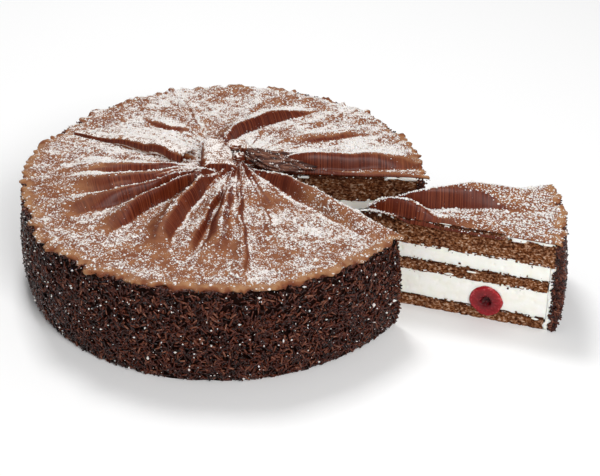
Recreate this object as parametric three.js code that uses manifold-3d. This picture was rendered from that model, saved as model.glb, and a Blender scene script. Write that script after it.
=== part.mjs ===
// A round black forest cake with one slice drawn out of it.
// Three sponges with two cream fillings stand in a coat of whipped cream.
// The wall is covered with chocolate sprinkles, and the top with one thin
// sheet of chocolate that is gathered into pleats at its middle.
//
// Units are millimetres and +Z is up. The underside of the base sponge is Z = 0,
// and the slice is drawn out along +X.

import * as THREE from 'three';
import * as BufferGeometryUtils from 'three/addons/utils/BufferGeometryUtils.js';
import Module from 'manifold-3d';

const wasm = await Module();
wasm.setup();

// ---------------------------------------------------------------- sizes

const GAP = 0.3;                       // clearance between neighbouring pieces

const BASE_SPONGE_TOP = 9.5;           // heights of the layers above the table
const LOWER_CREAM_TOP = 29.8;
const MIDDLE_SPONGE_TOP = 39.5;
const UPPER_CREAM_TOP = 50.4;
const TOP_SPONGE_TOP = 67.8;
const CREAM_TOP = 70;

const BASE_SPONGE_RADIUS = 134;
const MIDDLE_SPONGE_RADIUS = 134.6;
const FILLING_RADIUS = 135;
const TOP_SPONGE_RADIUS = 136.8;
const CREAM_RADIUS = 139;
const SPONGE_SAG = 0.6;                // how far a sponge's top sinks at its rim

const SPRINKLE_FOOT = 2.6;             // thickness of the sprinkles at the table
const SPRINKLE_BELLY = 7;              // and where they bulge most
const SPRINKLE_LIP = 2.4;              // and at the top edge
const SPRINKLE_BUMP = 0.7;             // height of the unevenness
const SPRINKLE_WAVES = [2.1, 1.3];     // its waves for each step round the wall
const SPRINKLE_RISES = [9, 14];        // and up the wall (radians)

const SHEET_THICKNESS = 1.8;
const SHEET_RADIUS = 140.5;
const SHEET_RAGGED = 2.6;              // depth of the torn rim
const SHEET_RIM_TOP = CREAM_TOP + GAP + SHEET_THICKNESS;
const GATHER_RISE = 13;                // how far the gathered middle stands up
const GATHER_REACH = 45;
const GATHER_SINK = 0.5;               // how far the whole sheet settles beside it
const BUNCH_THICKNESS = 9;             // pleats pressed together at the middle
const BUNCH_REACH = 26;
const PUCKERS = 17;                    // fine pleats round the middle
const PUCKER_HEIGHT = 1.4;
const PUCKER_REACH = 30;
const NARROWEST_FLANK = 4;             // degrees
const SLICE_RAGGED = 0.6;              // share of the torn rim's depth on the slice

const PLEAT_CENTRE = new THREE.Vector2(10.3, 7.2);   // the cuts meet here too
const CUT_FAR = 0;                     // degrees, the cut along +X
const CUT_NEAR = -35.4;                // degrees, the cut towards -Y

const SLICE_TIP = new THREE.Vector3(94.9, -36.9, 0);
const SLICE_HALF_ANGLE = 15.5;
const SLICE_TIP_CUT = 4;               // the very tip has crumbled away

// ---------------------------------------------------------------- pleats

// Each pleat is one ridge. It runs outwards from the gathered middle between two
// distances. The directions (degrees) of its crest and of its steep side's foot are
// given at its inner end, middle and outer end. Its gentle side is back degrees wide.
const pleat = (name, crest, foot, from, to, height, back) =>
  ({ name, crest, foot, from, to, height, back });

const CAKE_PLEATS = [
  pleat('far_cut', [12, 10, 10], [-1, 3, 4], 14, 146, 9, 22),
  pleat('right_faint', [55, 42, 36], [44, 35, 32], 50, 118, 2.5, 10),
  pleat('right_back', [108, 72, 62], [104, 63, 58], 18, 124, 8.5, 24),
  pleat('back_faint', [108, 94, 83], [98, 89, 78], 40, 118, 2, 9),
  pleat('back_crack', [124, 120, 116], [121, 117, 113], 60, 132, 3, 10),
  pleat('back_hook', [123, 135, 132], [126, 138, 135], 66, 112, 2.2, 9),
  pleat('left_roll', [164, 160, 155], [170, 164, 157], 26, 134, 6.5, 26),
  pleat('left_faint', [187, 181, 182], [193, 187, 188], 30, 134, 5, 9),
  pleat('left_first', [203, 196, 185], [213, 205, 198], 16, 140, 8.5, 11),
  pleat('left_second', [208, 209, 199], [212, 214, 209], 16, 142, 8.5, 8),
  pleat('front_left', [222, 220, 223], [227, 225, 230], 16, 134, 9, 8),
  pleat('front_broad', [222, 236, 248], [236, 244, 254], 14, 126, 8, 9),
  pleat('front_fork', [247, 256, 251], [255, 259, 257], 22, 128, 4, 10),
  pleat('front_white', [264, 268, 262], [257, 261, 256], 18, 132, 5.5, 7),
  pleat('front_long', [271, 275, 274], [277, 278, 276], 10, 158, 3, 4),
  pleat('front_fine', [292, 289, 288], [295, 292, 291], 40, 150, 1.4, 3),
  pleat('near_cut', [330, 324, 326], [316, 317, 320], 12, 142, 10, 10),
];

const SLICE_PLEATS = [
  pleat('far_edge', [15, 13.5, 12.5], [3, 1.5, 0.5], -6, 134, 14, 9),
  pleat('tip_fold', [12, 2, -20], [-3, -13, -35], -22, 66, 9, 12),
];

// The rolled edge: radius at its open mouth and at its tail, its length, the size
// of the hollow in its mouth, and where it starts and points (degrees).
const ROLL = {
  mouth: 6.2, tail: 2.4, length: 62, bore: 4.4, depth: 12,
  from: 42, angle: 167, height: 80.6, heading: 159, fall: 0.08,
};

// The folded tab: its size, where its middle lies beside the pleats' centre, how
// steeply it rises to the back, how much narrower it is there, and how it bends.
const TAB = {
  width: 25, depth: 28, thick: 3.2, belly: 5,
  aside: -16, behind: 1, height: 88, slope: 0.34, narrow: 0.72, arch: 3.2, wave: 1.4,
};

// ---------------------------------------------------------------- cherry

const CHERRY_DISTANCE = 93.5;          // from the slice's tip along the cut
const CHERRY_HEIGHT = 15;
const CHERRY_WIDTH = 24;
const CHERRY_TALL = 23;
const CHERRY_PROUD = 0.8;              // how far the cut cherry stands out
const PIT_WIDTH = 8;
const PIT_DEPTH = 5;

// ---------------------------------------------------------------- materials

const finish = (color, roughness, metalness = 0) =>
  new THREE.MeshStandardMaterial({ color, roughness, metalness });

const SPONGE = { color: '#8a5a33', roughness: 0.95 };
const CREAM = { color: '#f4f3ec', roughness: 0.55 };
const SPRINKLE = { color: '#2b1713', roughness: 0.45 };
const CHOCOLATE = { color: '#9a6544', roughness: 0.5 };
const CHERRY = { color: '#a3121f', roughness: 0.25 };

// ---------------------------------------------------------------- helpers

const radians = THREE.MathUtils.degToRad;
const smooth = (t) => 0.5 - 0.5 * Math.cos(Math.PI * THREE.MathUtils.clamp(t, 0, 1));

// Angle from one direction to another, in degrees between -180 and 180.
const turnBetween = (from, to) => THREE.MathUtils.euclideanModulo(to - from + 180, 360) - 180;

// A closed solid between two patches, each a point for (u, v) in 0..1.
// Where the points of a side coincide, as at a pole, that side vanishes.
function patchSolid(stepsU, stepsV, upper, lower) {
  const keys = new Map();
  const positions = [];
  const triangles = [];
  const corner = (surface, i, j) => {
    const point = surface(i / stepsU, j / stepsV);
    const key = [point.x, point.y, point.z].map((n) => Math.round(n * 1e4)).join();
    if (!keys.has(key)) {
      keys.set(key, positions.length / 3);
      positions.push(point.x, point.y, point.z);
    }
    return keys.get(key);
  };
  const grid = (surface) => Array.from({ length: stepsU + 1 }, (_, i) =>
    Array.from({ length: stepsV + 1 }, (_, j) => corner(surface, i, j)));
  const triangle = (a, b, c) => {
    if (a !== b && b !== c && c !== a) triangles.push(a, b, c);
  };
  const quad = (a, b, c, d) => {
    triangle(a, b, c);
    triangle(a, c, d);
  };
  const over = grid(upper);
  const under = grid(lower);
  for (let i = 0; i < stepsU; i += 1) {
    for (let j = 0; j < stepsV; j += 1) {
      quad(over[i][j], over[i][j + 1], over[i + 1][j + 1], over[i + 1][j]);
      quad(under[i][j], under[i + 1][j], under[i + 1][j + 1], under[i][j + 1]);
    }
    quad(over[i][0], over[i + 1][0], under[i + 1][0], under[i][0]);
    quad(over[i][stepsV], under[i][stepsV], under[i + 1][stepsV], over[i + 1][stepsV]);
  }
  for (let j = 0; j < stepsV; j += 1) {
    quad(over[0][j], under[0][j], under[0][j + 1], over[0][j + 1]);
    quad(over[stepsU][j], over[stepsU][j + 1], under[stepsU][j + 1], under[stepsU][j]);
  }
  return facingOut(toGeometry(positions, triangles));
}

function toGeometry(positions, triangles) {
  const geometry = new THREE.BufferGeometry();
  geometry.setAttribute('position', new THREE.Float32BufferAttribute(positions, 3));
  geometry.setIndex(Array.from(triangles));
  return geometry;
}

// Six times the signed volume tells whether the faces point outwards.
function facingOut(geometry) {
  const index = geometry.index.array;
  const [a, b, c] = [new THREE.Vector3(), new THREE.Vector3(), new THREE.Vector3()];
  let volume = 0;
  for (let i = 0; i < index.length; i += 3) {
    a.fromBufferAttribute(geometry.attributes.position, index[i]);
    b.fromBufferAttribute(geometry.attributes.position, index[i + 1]);
    c.fromBufferAttribute(geometry.attributes.position, index[i + 2]);
    volume += a.dot(b.cross(c));
  }
  if (volume < 0) {
    for (let i = 0; i < index.length; i += 3) {
      [index[i + 1], index[i + 2]] = [index[i + 2], index[i + 1]];
    }
  }
  return geometry;
}

function welded(geometry) {
  const bare = geometry.clone();
  bare.deleteAttribute('normal');
  bare.deleteAttribute('uv');
  return BufferGeometryUtils.mergeVertices(bare);
}

function toManifold(geometry) {
  const merged = welded(geometry);
  return new wasm.Manifold(new wasm.Mesh({
    numProp: 3,
    vertProperties: new Float32Array(merged.attributes.position.array),
    triVerts: new Uint32Array(merged.index.array),
  }));
}

function fromManifold(solid) {
  const mesh = solid.getMesh();
  return toGeometry(Array.from(mesh.vertProperties), mesh.triVerts);
}

const cut = (geometry, tool) => fromManifold(toManifold(geometry).subtract(toManifold(tool)));
const join = (geometry, extra) => fromManifold(toManifold(geometry).add(toManifold(extra)));

function piece(name, geometry, look) {
  geometry.computeVertexNormals();
  const mesh = new THREE.Mesh(geometry, finish(look.color, look.roughness));
  mesh.name = name;
  return mesh;
}

// ---------------------------------------------------------------- sectors

// A sector is what a cut leaves of the round: its tip, the angles of its two
// sides, and the centre of the round. Points on it are given by a turn u from one
// side to the other, and a distance from the tip.
const cakeSector = {
  tip: PLEAT_CENTRE,
  start: CUT_FAR,
  end: CUT_NEAR + 360,
  centre: new THREE.Vector2(0, 0),
  steps: 44,
};
const sliceSector = {
  tip: new THREE.Vector2(0, 0),
  start: -SLICE_HALF_ANGLE,
  end: SLICE_HALF_ANGLE,
  centre: new THREE.Vector2(0, 0),
  steps: 7,
};

const sectorAngle = (sector, u) => THREE.MathUtils.lerp(sector.start, sector.end, u);

// Distance from the tip to the circle of this radius round the centre.
function reach(sector, u, radius) {
  const angle = radians(sectorAngle(sector, u));
  const offset = sector.tip.clone().sub(sector.centre);
  const along = offset.x * Math.cos(angle) + offset.y * Math.sin(angle);
  return -along + Math.sqrt(along * along + radius * radius - offset.lengthSq());
}

function sectorPoint(sector, u, distance, z) {
  const angle = radians(sectorAngle(sector, u));
  return new THREE.Vector3(
    sector.tip.x + distance * Math.cos(angle),
    sector.tip.y + distance * Math.sin(angle),
    z,
  );
}

// ---------------------------------------------------------------- layers

function layer(sector, bottom, top, radius, sag) {
  const rings = 2;
  const surface = (height, sink) => (u, v) => {
    const distance = v * reach(sector, u, radius);
    return sectorPoint(sector, u, distance, height - sink * smooth(v * 2 - 1));
  };
  return patchSolid(sector.steps, rings, surface(top, sag), surface(bottom, 0));
}

// The cream lies on the top sponge and runs down its wall as one coat, thicker
// beside the two lower sponges.
function creamCoat(sector) {
  const inside = [
    [0, TOP_SPONGE_TOP + GAP],
    [TOP_SPONGE_RADIUS + GAP, TOP_SPONGE_TOP + GAP],
    [TOP_SPONGE_RADIUS + GAP, UPPER_CREAM_TOP],
    [FILLING_RADIUS + GAP, UPPER_CREAM_TOP - 1],
    [FILLING_RADIUS + GAP, 0],
  ];
  const outside = [
    [0, CREAM_TOP],
    [CREAM_RADIUS, CREAM_TOP],
    [CREAM_RADIUS, UPPER_CREAM_TOP],
    [CREAM_RADIUS, UPPER_CREAM_TOP - 1],
    [CREAM_RADIUS, 0],
  ];
  const segments = inside.length - 1;
  const surface = (profile) => (u, v) => {
    const [radius, z] = profile[Math.round(v * segments)];
    return sectorPoint(sector, u, radius === 0 ? 0 : reach(sector, u, radius), z);
  };
  return patchSolid(sector.steps, segments, surface(outside), surface(inside));
}

function sprinkleCoat(sector, stepsAround) {
  const rows = 5;
  const top = CREAM_TOP - GAP;
  const inner = CREAM_RADIUS + GAP;
  const thickness = (u, t) => {
    const belly = Math.sin(Math.PI * Math.pow(t, 0.75));
    const edge = THREE.MathUtils.lerp(SPRINKLE_FOOT, SPRINKLE_LIP, t);
    const [first, second] = SPRINKLE_WAVES.map((waves) => u * stepsAround * waves);
    const bump = Math.sin(first + t * SPRINKLE_RISES[0]) * Math.cos(second - t * SPRINKLE_RISES[1]);
    return edge + (SPRINKLE_BELLY - edge) * belly + SPRINKLE_BUMP * bump;
  };
  const outer = (u, v) => {
    const t = 1 - v;
    return sectorPoint(sector, u, reach(sector, u, inner + thickness(u, t)), top * t);
  };
  const wall = (u, v) => sectorPoint(sector, u, reach(sector, u, inner), top * (1 - v));
  return patchSolid(stepsAround, rows, outer, wall);
}

// ---------------------------------------------------------------- sheet

// The value on the parabola through three values at t = 0, 0.5 and 1.
const bowed = ([near, middle, far], t) =>
  near * (1 - t) * (1 - 2 * t) + middle * 4 * t * (1 - t) + far * t * (2 * t - 1);

function pleatHeight(pleat, distance, angle) {
  const t = (distance - pleat.from) / (pleat.to - pleat.from);
  if (t <= 0 || t >= 1) return 0;
  const crest = bowed(pleat.crest, t);
  const flank = bowed(pleat.foot, t) - crest;
  const turn = turnBetween(crest, angle);
  const width = Math.sign(turn) === Math.sign(flank) ? Math.abs(flank) : pleat.back;
  const swell = smooth(t * 3.5) * smooth((1 - t) * 1.7);
  return pleat.height * swell * smooth(1 - Math.abs(turn) / Math.max(width, NARROWEST_FLANK));
}

const pleatsHeight = (pleats, distance, angle) =>
  pleats.reduce((sum, pleat) => sum + pleatHeight(pleat, distance, angle), 0);

const raggedRim = (angle) =>
  SHEET_RAGGED * (0.6 * Math.sin(radians(angle * 23)) + 0.4 * Math.sin(radians(angle * 41 + 70)));

function cakeSheet() {
  const stepsAround = 82;
  const rings = 10;
  const distanceAt = (u, v) => {
    const angle = sectorAngle(cakeSector, u);
    const rim = reach(cakeSector, u, SHEET_RADIUS + raggedRim(angle));
    return rim * Math.pow(v, 1.15);
  };
  const puckers = (distance, angle) => PUCKER_HEIGHT
    * Math.sin(radians(angle * PUCKERS))
    * Math.sin(Math.PI * smooth(distance / PUCKER_REACH));
  const height = (distance, angle) => SHEET_RIM_TOP - GATHER_SINK
    + GATHER_RISE * Math.exp(-distance / GATHER_REACH)
    + puckers(distance, angle)
    + pleatsHeight(CAKE_PLEATS, distance, angle);
  const thickness = (distance) =>
    SHEET_THICKNESS + BUNCH_THICKNESS * Math.exp(-Math.pow(distance / BUNCH_REACH, 2));
  const over = (u, v) => {
    const distance = distanceAt(u, v);
    const angle = v === 0 ? 0 : sectorAngle(cakeSector, u);
    return sectorPoint(cakeSector, u, distance, height(distance, angle));
  };
  const under = (u, v) => {
    const point = over(u, v);
    point.z = Math.max(CREAM_TOP + GAP, point.z - thickness(distanceAt(u, v)));
    return point;
  };
  return patchSolid(stepsAround, rings, over, under);
}

function sliceSheet() {
  const stepsAround = 11;
  const rings = 13;
  const distanceAt = (u, v) => {
    const angle = sectorAngle(sliceSector, u);
    return THREE.MathUtils.lerp(SLICE_TIP_CUT, SHEET_RADIUS + SLICE_RAGGED * raggedRim(angle * 3), v);
  };
  const over = (u, v) => {
    const distance = distanceAt(u, v);
    const angle = sectorAngle(sliceSector, u);
    const rise = pleatsHeight(SLICE_PLEATS, distance, angle);
    return sectorPoint(sliceSector, u, distance, SHEET_RIM_TOP + rise);
  };
  const under = (u, v) => {
    const point = over(u, v);
    point.z = Math.max(CREAM_TOP + GAP, point.z - SHEET_THICKNESS);
    return point;
  };
  return patchSolid(stepsAround, rings, over, under);
}

// The pleat at the left ends in a rolled edge that stands open at the middle. It
// tapers outwards until it lies in the sheet.
function rolledEdge() {
  const { mouth, tail, length, bore, depth } = ROLL;
  const profile = [
    new THREE.Vector2(0, depth),
    new THREE.Vector2(bore, 0),
    new THREE.Vector2(mouth, 0),
    new THREE.Vector2((mouth + tail) / 2 + 0.8, length / 2),
    new THREE.Vector2(tail, length),
    new THREE.Vector2(0, length + tail),
  ];
  const horn = new THREE.LatheGeometry(profile, 12);
  horn.rotateZ(Math.PI / 2);
  horn.rotateY(-ROLL.fall);
  horn.rotateZ(radians(ROLL.heading - 180));
  horn.translate(
    PLEAT_CENTRE.x + ROLL.from * Math.cos(radians(ROLL.angle)),
    PLEAT_CENTRE.y + ROLL.from * Math.sin(radians(ROLL.angle)),
    ROLL.height,
  );
  return facingOut(welded(horn));
}

// The end of the sheet is folded over the gathered middle as a small tab.
function foldedTab() {
  const steps = 6;
  const over = (u, v) => {
    const x = (u - 0.5) * TAB.width * THREE.MathUtils.lerp(1, TAB.narrow, v);
    const y = (v - 0.5) * TAB.depth;
    const arch = TAB.arch * Math.cos(Math.PI * (u - 0.5));
    const wave = TAB.wave * Math.cos(Math.PI * 2 * (v - 0.35));
    return new THREE.Vector3(
      PLEAT_CENTRE.x + TAB.aside + x,
      PLEAT_CENTRE.y + TAB.behind + y,
      TAB.height + y * TAB.slope + arch + wave,
    );
  };
  const under = (u, v) => {
    const point = over(u, v);
    point.z -= TAB.thick + TAB.belly * Math.sin(Math.PI * u) * Math.sin(Math.PI * v);
    return point;
  };
  return patchSolid(steps, steps, over, under);
}

// ---------------------------------------------------------------- cherry

// Half a cherry, cut through its pit. It is made at the origin with its cut face
// towards -Y, then set against the side of a sector.
function halfCherry(grown) {
  const stone = new THREE.SphereGeometry(1, 14, 10);
  stone.rotateX(Math.PI / 2);
  stone.scale(CHERRY_WIDTH / 2 + grown, CHERRY_WIDTH / 2 + grown, CHERRY_TALL / 2 + grown);
  const front = new THREE.BoxGeometry(2 * CHERRY_WIDTH, CHERRY_WIDTH, 2 * CHERRY_TALL);
  front.translate(0, -CHERRY_WIDTH / 2 - CHERRY_PROUD, 0);
  return cut(stone, front);
}

function pittedCherry() {
  const pit = new THREE.SphereGeometry(PIT_WIDTH / 2, 8, 6);
  pit.scale(1, (2 * PIT_DEPTH) / PIT_WIDTH, 1);
  pit.translate(0, -CHERRY_PROUD, 0);
  return cut(halfCherry(0), pit);
}

// The side of the slice that shows faces -Y, and the cut of the cake faces it.
function setOnSlice(geometry) {
  geometry.translate(CHERRY_DISTANCE, 0, CHERRY_HEIGHT);
  geometry.rotateZ(radians(-SLICE_HALF_ANGLE));
  return geometry;
}

function setOnCake(geometry) {
  geometry.rotateZ(Math.PI);
  geometry.translate(CHERRY_DISTANCE, 0, CHERRY_HEIGHT);
  geometry.rotateZ(radians(CUT_NEAR));
  geometry.translate(PLEAT_CENTRE.x, PLEAT_CENTRE.y, 0);
  return geometry;
}

// ---------------------------------------------------------------- assembly

// A layer marked round makes room for the cherry.
const LAYERS = [
  {
    name: 'base_sponge', bottom: 0, top: BASE_SPONGE_TOP,
    radius: BASE_SPONGE_RADIUS, sag: 0, look: SPONGE, round: true,
  },
  {
    name: 'lower_cream', bottom: BASE_SPONGE_TOP + GAP, top: LOWER_CREAM_TOP,
    radius: FILLING_RADIUS, sag: SPONGE_SAG, look: CREAM, round: true,
  },
  {
    name: 'middle_sponge', bottom: LOWER_CREAM_TOP + GAP, top: MIDDLE_SPONGE_TOP,
    radius: MIDDLE_SPONGE_RADIUS, sag: SPONGE_SAG, look: SPONGE, round: false,
  },
  {
    name: 'upper_cream', bottom: MIDDLE_SPONGE_TOP + GAP, top: UPPER_CREAM_TOP,
    radius: FILLING_RADIUS, sag: 0, look: CREAM, round: false,
  },
  {
    name: 'top_sponge', bottom: UPPER_CREAM_TOP + GAP, top: TOP_SPONGE_TOP,
    radius: TOP_SPONGE_RADIUS, sag: SPONGE_SAG, look: SPONGE, round: false,
  },
];

function layeredPart(prefix, sector, sprinkleSteps, sheet, placeCherry) {
  const group = new THREE.Group();
  const pocket = placeCherry(halfCherry(GAP));
  for (const { name, bottom, top, radius, look, sag, round } of LAYERS) {
    const solid = layer(sector, bottom, top, radius, sag);
    group.add(piece(`${prefix}_${name}`, round ? cut(solid, pocket) : solid, look));
  }
  group.add(piece(`${prefix}_cream_coat`, creamCoat(sector), CREAM));
  group.add(piece(`${prefix}_sprinkle_coat`, sprinkleCoat(sector, sprinkleSteps), SPRINKLE));
  group.add(piece(`${prefix}_chocolate_sheet`, sheet, CHOCOLATE));
  group.add(piece(`${prefix}_cherry`, placeCherry(pittedCherry()), CHERRY));
  return group;
}

const gatheredSheet = join(join(cakeSheet(), rolledEdge()), foldedTab());
const cake = layeredPart('cake', cakeSector, 54, gatheredSheet, setOnCake);
const slice = layeredPart('slice', sliceSector, 8, sliceSheet(), setOnSlice);
slice.position.copy(SLICE_TIP);

const model = new THREE.Group();
model.add(cake, slice);

// The origin is the middle of the whole thing's box, on the table.
const box = new THREE.Box3().setFromObject(model, true);
const middle = box.getCenter(new THREE.Vector3());
model.position.set(-middle.x, -middle.y, -box.min.z);

export default model;
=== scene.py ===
"""Looks of a black forest cake with one slice drawn out of it.

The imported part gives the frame. Every piece below takes its place from a node's
box, is made in millimetres in its own sector of the round, and is moved to its
place in metres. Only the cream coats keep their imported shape.
"""

from __future__ import annotations

import logging
import math
from dataclasses import dataclass
from enum import Enum
from itertools import product
from typing import Callable

import bmesh
import bpy
import numpy as np
from mathutils import Matrix, Vector

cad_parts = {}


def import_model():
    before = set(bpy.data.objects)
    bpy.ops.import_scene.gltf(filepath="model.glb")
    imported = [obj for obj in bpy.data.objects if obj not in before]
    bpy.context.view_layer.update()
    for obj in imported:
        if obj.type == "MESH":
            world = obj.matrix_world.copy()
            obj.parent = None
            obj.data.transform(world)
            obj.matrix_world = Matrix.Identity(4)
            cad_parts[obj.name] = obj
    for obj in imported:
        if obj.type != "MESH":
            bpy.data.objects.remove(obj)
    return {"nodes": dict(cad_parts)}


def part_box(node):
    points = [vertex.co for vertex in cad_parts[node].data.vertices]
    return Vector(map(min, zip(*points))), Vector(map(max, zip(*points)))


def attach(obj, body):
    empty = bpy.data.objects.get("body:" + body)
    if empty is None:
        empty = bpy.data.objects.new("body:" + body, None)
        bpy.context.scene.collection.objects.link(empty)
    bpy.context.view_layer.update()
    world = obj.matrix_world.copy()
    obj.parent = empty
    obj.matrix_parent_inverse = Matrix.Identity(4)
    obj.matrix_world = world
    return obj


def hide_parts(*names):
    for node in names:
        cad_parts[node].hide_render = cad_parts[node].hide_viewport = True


LOG = logging.getLogger("black_forest_cake")
MM = 0.001
UPWARDS = (0.0, 0.0, 1.0)
BODY = "root"

Array = np.ndarray
Placing = Callable[[Array], Array]


# ------------------------------------------------------------------ small maths


def smooth(t: Array) -> Array:
    """Cosine step from 0 at t = 0 to 1 at t = 1, flat outside."""
    return 0.5 - 0.5 * np.cos(np.pi * np.clip(t, 0.0, 1.0))


def turn_between(start: Array, end: Array) -> Array:
    """Shortest turn from one direction to another, in degrees."""
    return (end - start + 180.0) % 360.0 - 180.0


@dataclass(frozen=True)
class LatticeNoise:
    """Smooth random values between -1 and 1, the same on every run."""

    seed: int

    def _corner(self, cells: Array) -> Array:
        """Random value of each lattice cell.

        Args:
            cells: Whole-number cell places, one row for each point.

        Returns:
            One value between -1 and 1 for each row.
        """
        mask = np.int64(0xFFFFFFFF)
        mixed = cells[:, 0] * 374761393 + cells[:, 1] * 668265263
        mixed = (mixed + cells[:, 2] * 1440662683 + self.seed * 974711) & mask
        mixed = ((mixed ^ (mixed >> 13)) * 1274126177) & mask
        mixed = mixed ^ (mixed >> 16)
        return mixed.astype(float) / float(mask) * 2.0 - 1.0

    def at(self, points: Array, size: float) -> Array:
        """Noise whose blobs are about size across.

        Args:
            points: One row of three coordinates for each point.
            size: Width of a blob, in the points' unit.

        Returns:
            One value for each point.
        """
        scaled = points / size
        cells = np.floor(scaled).astype(np.int64)
        inside = scaled - cells
        inside = inside * inside * (3.0 - 2.0 * inside)
        total = np.zeros(len(points))
        for corner in product((0, 1), repeat=3):
            offset = np.array(corner)
            share = np.prod(np.where(offset == 1, inside, 1.0 - inside), axis=1)
            total += share * self._corner(cells + offset)
        return total

    def layered(self, points: Array, size: float, octaves: int) -> Array:
        """Noise of several sizes, each half as large and half as strong.

        Args:
            points: One row of three coordinates for each point.
            size: Width of the largest blobs, in the points' unit.
            octaves: Number of sizes.

        Returns:
            One value for each point.
        """
        steps = range(octaves)
        parts = [self.at(points + 31.7 * k, size / 2**k) / 2**k for k in steps]
        return sum(parts) / sum(0.5**k for k in steps)


def stack(*columns: Array) -> Array:
    """Columns side by side as rows of coordinates."""
    return np.stack(np.broadcast_arrays(*columns), axis=-1).astype(float)


def level_way(degrees: float) -> Array:
    """Level unit vector in this direction."""
    way = math.radians(degrees)
    return np.array([math.cos(way), math.sin(way), 0.0])


# ------------------------------------------------------------------ the frame


@dataclass(frozen=True)
class Sector:
    """What a cut leaves of the round: a tip, two sides and the round's centre.

    Attributes:
        tip: Where the two cuts meet, in mm in the row frame.
        start: Direction of the first cut in degrees.
        end: Direction of the second cut in degrees.
        centre: Centre of the round, in mm in the row frame.
    """

    tip: tuple[float, float]
    start: float
    end: float
    centre: tuple[float, float]

    def angle(self, turn: Array) -> Array:
        """Direction in degrees at a share of the turn from start to end."""
        return self.start + (self.end - self.start) * turn

    def reach(self, angle: Array, radius: Array) -> Array:
        """Distance from the tip to a circle round the centre.

        Args:
            angle: Directions in degrees.
            radius: Radius of the circle in mm.

        Returns:
            Distances in mm.
        """
        way = np.radians(angle)
        offset = np.subtract(self.tip, self.centre)
        along = offset[0] * np.cos(way) + offset[1] * np.sin(way)
        return -along + np.sqrt(along**2 + radius**2 - offset @ offset)

    def point(self, angle: Array, distance: Array, height: Array) -> Array:
        """Points at directions and distances from the tip.

        Args:
            angle: Directions in degrees.
            distance: Distances in mm.
            height: Heights in mm.

        Returns:
            Rows of x, y, z in mm.
        """
        way = np.radians(angle)
        across = self.tip[0] + distance * np.cos(way)
        along = self.tip[1] + distance * np.sin(way)
        return stack(across, along, height)

    def spot(self, angle: float, distance: float, height: float = 0.0) -> Array:
        """One point's x, y, z in mm at a direction and distance from the tip."""
        return self.point(np.array([angle]), np.array([distance]), np.array([height]))[0]

    def outward(self, at_end: Array) -> Array:
        """Direction out of the cut, for each point on the first or the end cut."""
        way = np.radians(np.where(at_end, self.end, self.start))
        sign = np.where(at_end, 1.0, -1.0)
        return stack(-np.sin(way) * sign, np.cos(way) * sign, 0.0)


@dataclass(frozen=True)
class CakeFrame:
    """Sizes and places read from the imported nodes, in mm.

    Attributes:
        cake: Sector of the standing cake.
        piece: Sector of the drawn-out slice.
    """

    cake: Sector
    piece: Sector

    MEETING = (10.3, 7.2)
    CUT_FAR = 0.0
    CUT_NEAR = 324.6
    HALF_SLICE = 15.5

    @classmethod
    def read(cls) -> "CakeFrame":
        """Finds the round's centre and the slice's tip from the base sponges."""
        low, high = (np.array(c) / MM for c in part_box("cake_base_sponge"))
        radius = (high[1] - low[1]) / 2.0
        centre = (low[0] + radius, (low[1] + high[1]) / 2.0)
        meeting = (centre[0] + cls.MEETING[0], centre[1] + cls.MEETING[1])
        low, high = (np.array(c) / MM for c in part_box("slice_base_sponge"))
        tip = (low[0], (low[1] + high[1]) / 2.0)
        cake = Sector(meeting, cls.CUT_FAR, cls.CUT_NEAR, centre)
        return cls(cake, Sector(tip, -cls.HALF_SLICE, cls.HALF_SLICE, tip))

    @property
    def sectors(self) -> tuple[Sector, Sector]:
        """The cake's and the slice's sector."""
        return self.cake, self.piece

    def shared_out(self, draw: np.random.Generator, count: int, cake_share: float) -> tuple[Array, Array]:
        """Shares random things out between the cake and the slice.

        Args:
            draw: Source of random numbers.
            count: Number of things.
            cake_share: Share of them on the cake.

        Returns:
            Which things lie on the cake, and which on the slice.
        """
        of_cake = draw.random(count) < cake_share
        return of_cake, ~of_cake

    def wall_share(self) -> float:
        """The cake's share of the whole wall."""
        cake, piece = (abs(sector.end - sector.start) for sector in self.sectors)
        return cake / (cake + piece)

    def on_cuts(
        self,
        draw: np.random.Generator,
        which: Array,
        distance: Callable[[Sector, Array, Array], Array],
        height: Array,
        proud: tuple[float, float],
    ) -> tuple[Array, Array]:
        """Places things on the four cuts.

        Args:
            draw: Source of random numbers.
            which: Number of the cut that each thing lies on.
            distance: Gives distances from the tip for a sector, directions and a choice.
            height: Height of each in mm.
            proud: Least and most that they stand out of the cut, in mm.

        Returns:
            Their centres in mm, and the directions out of the cuts.
        """
        centre, away = np.zeros((len(which), 3)), np.zeros((len(which), 3))
        for number, (sector, at_end) in enumerate(product(self.sectors, (False, True))):
            mine = which == number
            angle = np.full(mine.sum(), sector.end if at_end else sector.start)
            away[mine] = sector.outward(np.full(mine.sum(), at_end))
            on_cut = sector.point(angle, distance(sector, angle, mine), height[mine])
            centre[mine] = on_cut + away[mine] * draw.uniform(*proud, (mine.sum(), 1))
        return centre, away

    @staticmethod
    def heights(node: str) -> tuple[float, float]:
        """Lowest and highest point of a node in mm."""
        low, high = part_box(node)
        return low.z / MM, high.z / MM


# ------------------------------------------------------------------ meshes


def unit_panel(steps_u: int, steps_v: int) -> bmesh.types.BMesh:
    """A flat grid over 0..1 in x and y.

    Args:
        steps_u: Number of steps along x.
        steps_v: Number of steps along y.

    Returns:
        The open bmesh.
    """
    mesh = bmesh.new()
    bmesh.ops.create_grid(mesh, x_segments=steps_u, y_segments=steps_v, size=0.5, calc_uvs=False)
    bmesh.ops.translate(mesh, verts=mesh.verts, vec=(0.5, 0.5, 0.0))
    return mesh


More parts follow.
